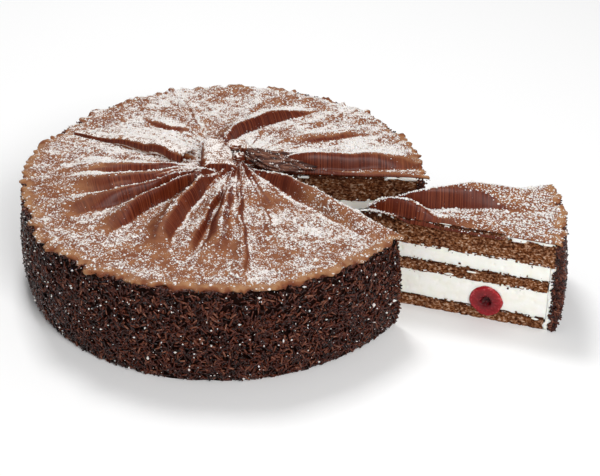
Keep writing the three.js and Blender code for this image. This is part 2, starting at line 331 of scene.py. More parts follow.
def unit_block(steps: tuple[int, int, int]) -> bmesh.types.BMesh:
    """A cube over 0..1 whose six sides are welded grids.

    Args:
        steps: Number of steps along x, y and z.

    Returns:
        The closed bmesh.
    """
    quarter = math.pi / 2.0
    sides = (
        (Matrix.Identity(4), steps[0], steps[1], (0.0, 0.0, 0.0)),
        (Matrix.Identity(4), steps[0], steps[1], (0.0, 0.0, 1.0)),
        (Matrix.Rotation(quarter, 4, "X"), steps[0], steps[2], (0.0, 0.0, 0.0)),
        (Matrix.Rotation(quarter, 4, "X"), steps[0], steps[2], (0.0, 1.0, 0.0)),
        (Matrix.Rotation(-quarter, 4, "Y"), steps[2], steps[1], (0.0, 0.0, 0.0)),
        (Matrix.Rotation(-quarter, 4, "Y"), steps[2], steps[1], (1.0, 0.0, 0.0)),
    )
    block = bmesh.new()
    for matrix, across, along, shift in sides:
        panel = unit_panel(across, along)
        bmesh.ops.transform(panel, matrix=Matrix.Translation(shift) @ matrix, verts=panel.verts)
        scratch = bpy.data.meshes.new("panel")
        panel.to_mesh(scratch)
        panel.free()
        block.from_mesh(scratch)
        bpy.data.meshes.remove(scratch)
    bmesh.ops.remove_doubles(block, verts=block.verts, dist=1e-5)
    return block


def coordinates(mesh: bpy.types.Mesh) -> Array:
    """Vertex places of a mesh, one row each."""
    flat = np.zeros(len(mesh.vertices) * 3)
    mesh.vertices.foreach_get("co", flat)
    return flat.reshape(-1, 3)


def set_coordinates(mesh: bpy.types.Mesh, points: Array) -> None:
    """Moves the vertices to points given in mm."""
    mesh.vertices.foreach_set("co", (points * MM).ravel())
    mesh.update()


def set_attribute(mesh: bpy.types.Mesh, name: str, values: Array) -> None:
    """Stores one number for each vertex under a name.

    Args:
        mesh: The mesh.
        name: Name of the attribute.
        values: One number for each vertex.
    """
    layer = mesh.attributes.new(name, "FLOAT", "POINT")
    layer.data.foreach_set("value", np.asarray(values, dtype=np.float32))


def set_lay(mesh: bpy.types.Mesh, across: Array, along: Array) -> None:
    """Stores how scrape lines lie, as a UV map.

    Args:
        mesh: The mesh.
        across: For each vertex, its place across the lines, in wavelengths.
        along: For each vertex, its place along them.
    """
    corner = np.zeros(len(mesh.loops), dtype=np.int64)
    mesh.loops.foreach_get("vertex_index", corner)
    lay = mesh.uv_layers.new(name="lay")
    lay.data.foreach_set("uv", stack(across, along)[corner].ravel())


def vertex_normals(mesh: bpy.types.Mesh) -> Array:
    """Unit normal of each vertex."""
    flat = np.zeros(len(mesh.vertices) * 3)
    mesh.vertex_normals.foreach_get("vector", flat)
    return flat.reshape(-1, 3)


def to_object(name: str, shape: bmesh.types.BMesh, place: Placing) -> bpy.types.Object:
    """Turns a bmesh into a shaded object at its place.

    Args:
        name: Name of the piece.
        shape: The bmesh, which is freed.
        place: Gives points in mm for the bmesh's own points.

    Returns:
        The linked object.
    """
    mesh = bpy.data.meshes.new(name)
    shape.to_mesh(mesh)
    shape.free()
    set_coordinates(mesh, place(coordinates(mesh)))
    mesh.shade_smooth()
    made = bpy.data.objects.new(name, mesh)
    bpy.context.scene.collection.objects.link(made)
    return made


def close_mesh(made: bpy.types.Object) -> None:
    """Welds points that fell together and turns the faces outwards.

    Args:
        made: The piece, whose mesh is changed.
    """
    shape = bmesh.new()
    shape.from_mesh(made.data)
    bmesh.ops.remove_doubles(shape, verts=shape.verts, dist=2e-6)
    bmesh.ops.dissolve_degenerate(shape, edges=shape.edges, dist=1e-7)
    bmesh.ops.recalc_face_normals(shape, faces=shape.faces)
    shape.to_mesh(made.data)
    shape.free()
    made.data.shade_smooth()


def scattered(name: str, seed_shape: bmesh.types.BMesh, moved: Placing) -> bpy.types.Object:
    """Joins many copies of one small shape into one piece.

    Args:
        name: Name of the piece.
        seed_shape: The small shape, which is freed.
        moved: Gives the copies' points in mm as (copies, points, 3).

    Returns:
        The linked object.
    """
    mesh = bpy.data.meshes.new(name)
    bmesh.ops.triangulate(seed_shape, faces=seed_shape.faces)
    seed_shape.verts.index_update()
    corners = np.array([[v.index for v in f.verts] for f in seed_shape.faces])
    base = np.array([v.co[:] for v in seed_shape.verts])
    seed_shape.free()
    points = moved(base)
    copies = len(points)
    faces = (corners[None] + np.arange(copies)[:, None, None] * len(base)).reshape(-1, 3)
    mesh.vertices.add(copies * len(base))
    mesh.vertices.foreach_set("co", (points * MM).ravel())
    mesh.loops.add(faces.size)
    mesh.loops.foreach_set("vertex_index", faces.ravel())
    mesh.polygons.add(len(faces))
    mesh.polygons.foreach_set("loop_start", np.arange(len(faces)) * 3)
    mesh.update(calc_edges=True)
    mesh.validate()
    mesh.shade_smooth()
    made = bpy.data.objects.new(name, mesh)
    bpy.context.scene.collection.objects.link(made)
    return made


def fine_ball(subdivisions: int) -> bmesh.types.BMesh:
    """An icosphere of radius 1."""
    ball = bmesh.new()
    bmesh.ops.create_icosphere(ball, subdivisions=subdivisions, radius=1.0)
    return ball


def plain_ball(segments: int, rings: int) -> bmesh.types.BMesh:
    """A sphere of radius 1 with few faces.

    Args:
        segments: Number of faces round it.
        rings: Number of faces from pole to pole.

    Returns:
        The closed bmesh.
    """
    ball = bmesh.new()
    bmesh.ops.create_uvsphere(ball, u_segments=segments, v_segments=rings, radius=1.0)
    return ball


def solidify(made: bpy.types.Object, thickness: float) -> None:
    """Gives an open sheet its wall, downwards from its upper face, in mm.

    Args:
        made: The sheet.
        thickness: Thickness of its wall in mm.
    """
    wall = made.modifiers.new("wall", "SOLIDIFY")
    wall.thickness = thickness * MM
    wall.offset = -1.0
    wall.use_even_offset = False


# ------------------------------------------------------------------ materials


def colour(code: str) -> tuple[float, float, float, float]:
    """Linear colour of an sRGB hex code such as #8a5a33."""
    values = [int(code[k : k + 2], 16) / 255.0 for k in (1, 3, 5)]
    linear = [v / 12.92 if v <= 0.04045 else ((v + 0.055) / 1.055) ** 2.4 for v in values]
    return (linear[0], linear[1], linear[2], 1.0)


Socket = bpy.types.NodeSocket
Stops = tuple[tuple[float, str], ...]
SOFT_STEP = {"interpolation_type": "SMOOTHSTEP"}
OF_COLOURS = {"data_type": "RGBA"}
FIRST_COLOUR = 6
SECOND_COLOUR = 7


def add_node(
    tree: bpy.types.NodeTree,
    kind: str,
    inputs: dict[str | int, object] | None = None,
    settings: dict[str, object] | None = None,
    stops: Stops = (),
) -> bpy.types.Node:
    """Adds one node to a tree.

    Args:
        tree: The node tree.
        kind: Blender's name of the node type after ShaderNode.
        inputs: For each input, its fixed value, or the node or socket that feeds it.
        settings: Properties of the node.
        stops: Positions and hex codes of a colour ramp.

    Returns:
        The new node.
    """
    made = tree.nodes.new(f"ShaderNode{kind}")
    for key, value in (settings or {}).items():
        setattr(made, key, value)
    for key, value in (inputs or {}).items():
        if isinstance(value, bpy.types.Node):
            value = next(output for output in value.outputs if output.enabled)
        if isinstance(value, Socket):
            tree.links.new(value, made.inputs[key])
        else:
            made.inputs[key].default_value = value
    for number, (position, code) in enumerate(stops):
        elements = made.color_ramp.elements
        element = elements[number] if number < len(elements) else elements.new(position)
        element.position = position
        element.color = colour(code)
    return made


class Slot(Enum):
    """Material slots of the part's record."""

    SPONGE = "sponge"
    CREAM = "whipped_cream"
    SPRINKLES = "sprinkles"
    CHOCOLATE = "chocolate"
    CHERRY = "cherry"
    SUGAR = "powdered_sugar"


@dataclass(frozen=True)
class Finish:
    """A food's surface: how it shines and how far light goes into it.

    Attributes:
        name: Name of the material.
        roughness: Principled roughness.
        ior: Index of refraction.
        coat: Weight of a wet gloss over it.
        depth: How far light goes into it, in mm.
        soft: Share of light that goes into it.
    """

    name: str
    roughness: float
    ior: float = 1.45
    coat: float = 0.0
    depth: float = 0.0
    soft: float = 0.0

    COAT_ROUGHNESS = 0.12
    SCATTER = (1.0, 0.7, 0.5)

    def start(self) -> tuple[bpy.types.Material, bpy.types.NodeTree, Socket]:
        """Makes the empty material and its object coordinates."""
        material = bpy.data.materials.new(self.name)
        material.use_nodes = True
        tree = material.node_tree
        tree.nodes.clear()
        return material, tree, add_node(tree, "TexCoord").outputs["Object"]

    def close(self, tree: bpy.types.NodeTree, inputs: dict[str, object]) -> None:
        """Adds the shader and the output.

        Args:
            tree: The material's node tree.
            inputs: What feeds the shader, besides the finish's own values.
        """
        values = {
            "Roughness": self.roughness,
            "IOR": self.ior,
            "Coat Weight": self.coat,
            "Coat Roughness": self.COAT_ROUGHNESS,
            "Subsurface Weight": self.soft,
            "Subsurface Radius": self.SCATTER,
            "Subsurface Scale": self.depth * MM,
        }
        shader = add_node(tree, "BsdfPrincipled", values | inputs)
        add_node(tree, "OutputMaterial", {"Surface": shader})


class Pantry:
    """The materials of the cake."""

    PER_MM = 1.0 / MM
    # Colours of the sheet: the first stops are its flanks, darkened with painted shade; the next two are
    # the dull bloom and caramel, made paler as painted light where it faces up and back.
    BARE_AND_SHADED = ((0.25, "#3f0f03"), (0.5, "#5e210c"), (0.75, "#804026"))
    DULLED_AND_LIT = ((0.3, "#733d23"), (0.55, "#8a5432"), (0.75, "#9e6b45"))
    CARAMEL = ((0.3, "#8f6246"), (0.55, "#a3754f"), (0.75, "#b48a66"))
    BARK = ((0.32, "#180703"), (0.46, "#401c10"), (0.58, "#6f4330"), (0.72, "#94705c"))
    CRUMB = ((0.33, "#331203"), (0.45, "#6b3b1d"), (0.55, "#936341"), (0.68, "#cfb39d"))
    MOIST_CRUMB = ((0.36, "#2a0e03"), (0.55, "#744428"), (0.7, "#ae8a6e"))
    FLESH = ((0.0, "#2a0307"), (0.28, "#4a050b"), (0.42, "#6a0410"), (0.8, "#860713"), (0.95, "#9c0f1a"))
    PALE_FLESH = ((0.0, "#5a0d14"), (0.35, "#86131d"), (0.8, "#a41f2a"), (0.95, "#c25457"))
    LOOSE_CRUMB = ((0.35, "#45230f"), (0.6, "#6f4428"), (0.75, "#9a7050"))
    # Near-black bed under the rods: packed sprinkles darkened as painted shade for the gaps between rods.
    BED_AND_GAP_SHADE = ((0.35, "#0a0201"), (0.65, "#1c0904"))
    CLUMP = ((0.3, "#ece5e0"), (0.7, "#faf8f6"))
    CREAM = ((0.3, "#f8f6ea"), (0.7, "#fffdf6"))
    ROD_TONES = {
        "dark": ("#240a04", "#3f160b", "#5c2b1a"),
        "brown": ("#38130a", "#592717", "#80503c"),
        "dull": ("#120301", "#260c06", "#3c180e"),
    }
    SUGAR = "#f1eae5"
    # Crust colour, also used for painted shade over the cake's top sponge.
    CRUST_AND_SHADE = "#301005"
    HAZE = "#e6dcd6"

    def __init__(self) -> None:
        """Makes every material once."""
        self.chocolate = self._milk_chocolate()
        self.torn = self._torn_chocolate()
        self.sponge = self._sponge()
        self.cream = self._whipped_cream()
        self.sprinkles = {name: self._sprinkle(name, tones) for name, tones in self.ROD_TONES.items()}
        self.core = self._speckled(Finish("sprinkle_bed", 0.9, 1.15), 2.2, self.BED_AND_GAP_SHADE)
        self.sugar = self._speckled(Finish("powdered_sugar", 0.9, 1.45, 0.0, 0.6, 0.2), 4.0, self.CLUMP)
        self.cherry = self._cherry()
        self.crumb = self._speckled(Finish("cocoa_crumb", 0.95, 1.25), 2.5, self.LOOSE_CRUMB)

    @classmethod
    def _sugared(cls, tree: bpy.types.NodeTree, place: Socket, dust: Socket) -> bpy.types.Node:
        """Where sifted sugar covers a surface: grains, thicker where dust is.

        Args:
            tree: The node tree.
            place: Object coordinates.
            dust: How much sugar lies there, from 0 to 1.

        Returns:
            The node that gives the share of sugar, from 0 to 1.
        """
        laid = add_node(tree, "Math", {0: dust, 1: 0.9}, {"operation": "MULTIPLY"})
        for size, weight in ((0.95, 0.62), (3.4, 0.38)):
            grain = {"Vector": place, "Scale": cls.PER_MM / size, "Roughness": 0.55}
            grains = add_node(tree, "TexNoise", grain)
            share = {"Value": grains, "From Min": 0.3, "From Max": 0.7, "To Max": weight}
            grains = add_node(tree, "MapRange", share)
            laid = add_node(tree, "Math", {0: laid, 1: grains}, {"operation": "ADD"})
        return add_node(tree, "MapRange", {"Value": laid, "From Min": 0.9, "From Max": 1.02}, SOFT_STEP)

    @classmethod
    def _milk_chocolate(cls) -> bpy.types.Material:
        """Milk chocolate scraped off a slab: scrape lines, sifted sugar, a dull bloom and painted light,
        paler where it faces up and back and darker with painted shade on the flanks.
        """
        finish = Finish("milk_chocolate_sheet", 0.42, 1.32)
        material, tree, place = finish.start()
        film_and_top_light = add_node(tree, "Attribute", settings={"attribute_name": "film_and_top_light"}).outputs["Fac"]
        dust = add_node(tree, "Attribute", settings={"attribute_name": "dust"}).outputs["Fac"]
        lay = add_node(tree, "UVMap", settings={"uv_map": "lay"})
        scraped = {"Vector": lay, "Scale": 1.0, "Detail": 3.0}
        scrape = add_node(tree, "TexNoise", scraped, {"noise_dimensions": "2D"})
        mottle = add_node(tree, "TexNoise", {"Vector": place, "Scale": cls.PER_MM / 9.0, "Detail": 4.0})
        # The flanks' colour, darkened as painted shade.
        bare_and_shaded = add_node(tree, "ValToRGB", {"Fac": scrape}, stops=cls.BARE_AND_SHADED)
        dulled_and_lit = add_node(tree, "ValToRGB", {"Fac": mottle}, stops=cls.DULLED_AND_LIT)
        caramel = add_node(tree, "ValToRGB", {"Fac": mottle}, stops=cls.CARAMEL)
        # Paler colours where the sheet faces up and back: part bloom, part painted light.
        filmed_and_lit = add_node(tree, "MapRange", {"Value": film_and_top_light, "From Max": 0.75}, SOFT_STEP)
        pale = add_node(tree, "MapRange", {"Value": film_and_top_light, "From Min": 0.72}, SOFT_STEP)
        haze = add_node(tree, "Math", {0: dust, 1: 0.06}, {"operation": "MULTIPLY"})
        sugar = cls._sugared(tree, place, dust)
        covers = ((filmed_and_lit, dulled_and_lit), (pale, caramel), (haze, colour(cls.HAZE)), (sugar, colour(cls.SUGAR)))
        painted = bare_and_shaded
        for share, over in covers:
            cover = {"Factor": share, FIRST_COLOUR: painted, SECOND_COLOUR: over}
            painted = add_node(tree, "Mix", cover, OF_COLOURS)
        dull = add_node(tree, "Math", {0: sugar.outputs[0], 1: film_and_top_light}, {"operation": "MAXIMUM"})
        rough = add_node(tree, "MapRange", {"Value": dull, "To Min": 0.4, "To Max": 0.9})
        shine = add_node(tree, "MapRange", {"Value": film_and_top_light, "To Min": 0.35, "To Max": 0.06})
        lines = add_node(tree, "Math", {0: scrape, 1: shine}, {"operation": "MULTIPLY"})
        grains = add_node(tree, "Math", {0: sugar, 1: 0.7}, {"operation": "MULTIPLY"})
        height = add_node(tree, "Math", {0: grains, 1: lines}, {"operation": "ADD"})
        relief = add_node(tree, "Bump", {"Height": height, "Distance": 0.5 * MM, "Strength": 0.7})
        finish.close(tree, {"Base Color": painted, "Roughness": rough, "Normal": relief})
        return material

    @classmethod
    def _torn_chocolate(cls) -> bpy.types.Material:
        """Chocolate where pleats were cut through: layered like bark, with pale crumbled edges."""
        finish = Finish("torn_chocolate", 0.55, 1.35)
        material, tree, place = finish.start()
        dust = add_node(tree, "Attribute", settings={"attribute_name": "dust"}).outputs["Fac"]
        drawn = add_node(tree, "Mapping", {"Vector": place, "Scale": (0.22, 1.0, 1.2)})
        layers = add_node(tree, "TexNoise", {"Vector": drawn, "Scale": cls.PER_MM / 2.2, "Detail": 4.0})
        bark = add_node(tree, "ValToRGB", {"Fac": layers}, stops=cls.BARK)
        sugar = cls._sugared(tree, place, dust)
        cover = {"Factor": sugar, FIRST_COLOUR: bark, SECOND_COLOUR: colour(cls.SUGAR)}
        painted = add_node(tree, "Mix", cover, OF_COLOURS)
        relief = add_node(tree, "Bump", {"Height": layers, "Distance": 0.8 * MM, "Strength": 0.8})
        finish.close(tree, {"Base Color": painted, "Normal": relief})
        return material

    @classmethod
    def _sponge(cls) -> bpy.types.Material:
        """Cocoa sponge: open crumb drawn out along the layer, dark pores, and darker crusts that also
        carry painted shade.
        """
        finish = Finish("cocoa_sponge", 0.95, 1.2)
        material, tree, place = finish.start()
        crust = add_node(tree, "Attribute", settings={"attribute_name": "crust"}).outputs["Fac"]
        drawn = add_node(tree, "Mapping", {"Vector": place, "Scale": (0.72, 0.72, 1.1)})
        pores = add_node(tree, "TexNoise", {"Vector": drawn, "Scale": cls.PER_MM / 1.4, "Detail": 5.0})
        patches = add_node(tree, "TexNoise", {"Vector": drawn, "Scale": cls.PER_MM / 7.0, "Detail": 3.0})
        dry = add_node(tree, "ValToRGB", {"Fac": pores}, stops=cls.CRUMB)
        moist = add_node(tree, "ValToRGB", {"Fac": pores}, stops=cls.MOIST_CRUMB)
        patch = {"Value": patches, "From Min": 0.38, "From Max": 0.62}
        patchy = add_node(tree, "MapRange", patch, SOFT_STEP)
        # This mask holds the real crust and the painted shade; both take the crust colour.
        crust_and_shade = add_node(tree, "Math", {0: crust, 1: 0.85}, {"operation": "MULTIPLY"})
        painted = dry
        for share, over in ((patchy, moist), (crust_and_shade, colour(cls.CRUST_AND_SHADE))):
            cover = {"Factor": share, FIRST_COLOUR: painted, SECOND_COLOUR: over}
            painted = add_node(tree, "Mix", cover, OF_COLOURS)
        relief = add_node(tree, "Bump", {"Height": pores, "Distance": 1.1 * MM, "Strength": 0.9})
        finish.close(tree, {"Base Color": painted, "Normal": relief})
        return material

    @classmethod
    def _speckled(cls, finish: Finish, size: float, stops: Stops) -> bpy.types.Material:
        """A matt food whose tone changes from speck to speck.

        Args:
            finish: Its surface.
            size: Width of a speck in mm.
            stops: Colour stops over the specks' noise.

        Returns:
            The material.
        """
        material, tree, place = finish.start()
        tone = add_node(tree, "TexNoise", {"Vector": place, "Scale": cls.PER_MM / size})
        painted = add_node(tree, "ValToRGB", {"Fac": tone}, stops=stops)
        finish.close(tree, {"Base Color": painted})
        return material

    @classmethod
    def _whipped_cream(cls) -> bpy.types.Material:
        """Whipped cream: warm white, satin, and light goes into it."""
        finish = Finish("whipped_cream", 0.5, 1.4, 0.0, 3.0, 0.35)
        material, tree, place = finish.start()
        tone = add_node(tree, "TexNoise", {"Vector": place, "Scale": cls.PER_MM / 7.0, "Detail": 3.0})
        painted = add_node(tree, "ValToRGB", {"Fac": tone}, stops=cls.CREAM)
        swells = add_node(tree, "TexNoise", {"Vector": place, "Scale": cls.PER_MM / 1.4, "Detail": 3.0})
        relief = add_node(tree, "Bump", {"Height": swells, "Distance": 0.3 * MM, "Strength": 0.35})
        finish.close(tree, {"Base Color": painted, "Normal": relief})
        return material

    @staticmethod
    def _sprinkle(name: str, tones: tuple[str, str, str]) -> bpy.types.Material:
        """Extruded chocolate rods: each rod has its own tone and a satin gloss.

        Args:
            name: The kind of rod.
            tones: Hex codes from the darkest rod to the palest.

        Returns:
            The material.
        """
        finish = Finish(f"{name}_chocolate_sprinkle", 0.2, 1.38)
        material, tree, _ = finish.start()
        tone = add_node(tree, "Attribute", settings={"attribute_name": "tone"}).outputs["Fac"]
        painted = add_node(tree, "ValToRGB", {"Fac": tone}, stops=tuple(zip((0.0, 0.6, 1.0), tones)))
        finish.close(tree, {"Base Color": painted})
        return material

    @classmethod
    def _cherry(cls) -> bpy.types.Material:
        """Cut sour cherry: wet flesh with paler fibres to the skin and a dark stone bed."""
        finish = Finish("sour_cherry", 0.25, 1.33, 0.15, 1.2, 0.12)
        material, tree, place = finish.start()
        radius = add_node(tree, "Attribute", settings={"attribute_name": "radius"}).outputs["Fac"]
        fibres = add_node(tree, "TexNoise", {"Vector": place, "Scale": cls.PER_MM / 1.8, "Detail": 3.0})
        flesh = add_node(tree, "ValToRGB", {"Fac": radius}, stops=cls.FLESH)
        pale = add_node(tree, "ValToRGB", {"Fac": radius}, stops=cls.PALE_FLESH)
        fibre = {"Value": fibres, "From Min": 0.5, "From Max": 0.7}
        fibrous = add_node(tree, "MapRange", fibre, SOFT_STEP)
        cover = {"Factor": fibrous, FIRST_COLOUR: flesh, SECOND_COLOUR: pale}
        painted = add_node(tree, "Mix", cover, OF_COLOURS)
        relief = add_node(tree, "Bump", {"Height": fibres, "Distance": 0.6 * MM, "Strength": 0.6})
        finish.close(tree, {"Base Color": painted, "Normal": relief})
        return material


def finish_piece(
    made: bpy.types.Object, material: bpy.types.Material, slot: Slot, *nodes: str
) -> bpy.types.Object:
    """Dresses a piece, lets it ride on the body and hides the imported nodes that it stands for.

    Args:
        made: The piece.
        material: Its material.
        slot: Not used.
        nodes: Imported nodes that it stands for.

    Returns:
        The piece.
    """
    made.data.materials.clear()
    made.data.materials.append(material)
    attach(made, BODY)
    if nodes:
        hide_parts(*nodes)
    LOG.info("%s: %d points", made.name, len(made.data.vertices))
    return made


# ------------------------------------------------------------------ the sheet


@dataclass(frozen=True)
class Pleat:
    """One ridge of the gathered sheet.

    Attributes:
        name: Where it lies.
        crest: Direction of its crest at the inner end, middle and outer end.
        foot: Direction of its steep side's foot at the same three places.
        start: Distance of its inner end from the tip in mm.
        stop: Distance of its outer end in mm.
        height: How far it stands up in mm.
        back: Width of its gentle side in degrees.
    """

    name: str
    crest: tuple[float, float, float]
    foot: tuple[float, float, float]
    start: float
    stop: float
    height: float
    back: float

    BELLY = 2.0
    FALL = 0.8
    HOLLOW = 1.5
    LEAN = 0.2
    NARROWEST = 1.2
    WOBBLE = 1.4
    RISING = 3.5
    FALLING = 2.3
    TALL = 7.0

    @staticmethod
    def bowed(ends: tuple[float, float, float], t: Array) -> Array:
        """Value on the parabola through three values.

        Args:
            ends: Values at t = 0, 0.5 and 1.
            t: Where on the parabola.

        Returns:
            Its value there.
        """
        near, middle, far = ends
        return near * (1 - t) * (1 - 2 * t) + middle * 4 * t * (1 - t) + far * t * (2 * t - 1)

    def share(self, distance: Array) -> Array:
        """How far along the pleat a distance is, from 0 to 1."""
        return (distance - self.start) / (self.stop - self.start)

    def form(self, distance: Array, angle: Array) -> tuple[Array, Array, Array]:
        """Shape of the pleat at points given from the tip.

        Args:
            distance: Distance from the tip in mm.
            angle: Direction in degrees.

        Returns:
            Height in mm, lean towards the flank in mm, and how much the point is on
            the crest's line or in the flank's foot, from 0 to 1.
        """
        t = self.share(distance)
        swell = smooth(t * self.RISING) * smooth((1 - t) * self.FALLING) * ((t > 0) & (t < 1))
        t = np.clip(t, 0.0, 1.0)
        crest = self.bowed(self.crest, t)
        side = math.copysign(1.0, self.foot[1] - self.crest[1])
        flank = np.maximum((self.bowed(self.foot, t) - crest) * side, self.NARROWEST)
        waves = np.sin(distance / 7.0 + self.crest[1]) * np.sin(distance / 17.0 + self.crest[0])
        wobble = self.WOBBLE * waves
        turn = turn_between(crest + np.degrees(wobble / np.maximum(distance, 20.0)), angle)
        on_flank = turn * side > 0
        x = np.clip(np.abs(turn) / np.where(on_flank, flank, self.back), 0.0, 1.0)
        steep = (1.0 - x**self.BELLY) ** self.FALL
        gentle = (1.0 - x) ** self.HOLLOW
        rise = np.where(on_flank, steep, gentle) * swell
        lean = side * self.LEAN * self.height * rise**2
        from_crest = side * np.radians(turn) * distance
        from_foot = from_crest - np.radians(flank) * distance
        line = np.exp(-(((from_crest + 1.4) / 1.8) ** 2))
        line = line + 0.8 * np.exp(-(((from_foot - 1.6) / 1.6) ** 2))
        return self.height * rise, lean, line * swell * min(1.0, self.height / self.TALL)


CAKE_PLEATS = (
    Pleat("far_cut", (12, 10, 10), (-1, 3, 4), 14, 146, 10, 22),
    Pleat("right_faint", (55, 42, 36), (44, 35, 32), 50, 118, 3, 10),
    Pleat("right_back", (130, 84, 61), (119, 78.5, 58.5), 17, 112, 9.5, 24),
    Pleat("back_faint", (108, 94, 83), (98, 89, 78), 40, 118, 2, 9),
    Pleat("back_crack", (124, 120, 116), (121, 117, 113), 60, 132, 3, 10),
    Pleat("back_hook", (123, 135, 132), (126, 138, 135), 66, 112, 2.5, 9),
    Pleat("left_roll", (164, 160, 155), (170, 162.5, 156), 26, 134, 6.0, 26),
    Pleat("left_faint", (187, 181, 182), (193, 187, 188), 30, 134, 6, 9),
    Pleat("left_first", (203, 196, 185), (213, 205, 198), 16, 140, 9.5, 11),
    Pleat("left_second", (208, 209, 199), (212, 214, 209), 16, 142, 9.5, 8),
    Pleat("front_left", (222, 220, 223), (227, 225, 230), 16, 134, 10.5, 8),
    Pleat("front_broad", (222, 236, 248), (236, 244, 254), 14, 126, 9.5, 9),
    Pleat("front_fork", (247, 256, 251), (255, 259, 257), 22, 128, 4.5, 10),
    Pleat("front_white", (264, 268, 262), (257, 261, 256), 18, 132, 6.5, 7),
    Pleat("front_long", (271, 275, 274), (277, 278, 276), 10, 158, 3.5, 4),
    Pleat("front_fine", (292, 289, 288), (295, 292, 291), 40, 150, 1.6, 3),
    Pleat("near_cut", (330, 324, 326), (316, 317, 320), 12, 142, 11, 10),
)

CAKE_DENTS = (
    (58.0, 299.0, 11.0, 2.6),
    (84.0, 306.0, 12.0, 1.6),
    (96.0, 258.0, 13.0, 1.6),
    (100.0, 22.0, 12.0, 1.4),
)

SLICE_PLEATS = (
    Pleat("far_edge", (15, 13.5, 12.5), (3, 1.5, 0.5), -6, 134, 16, 9),
    Pleat("tip_fold", (12, 2, -20), (-3, -13, -35), -22, 66, 10, 12),
)


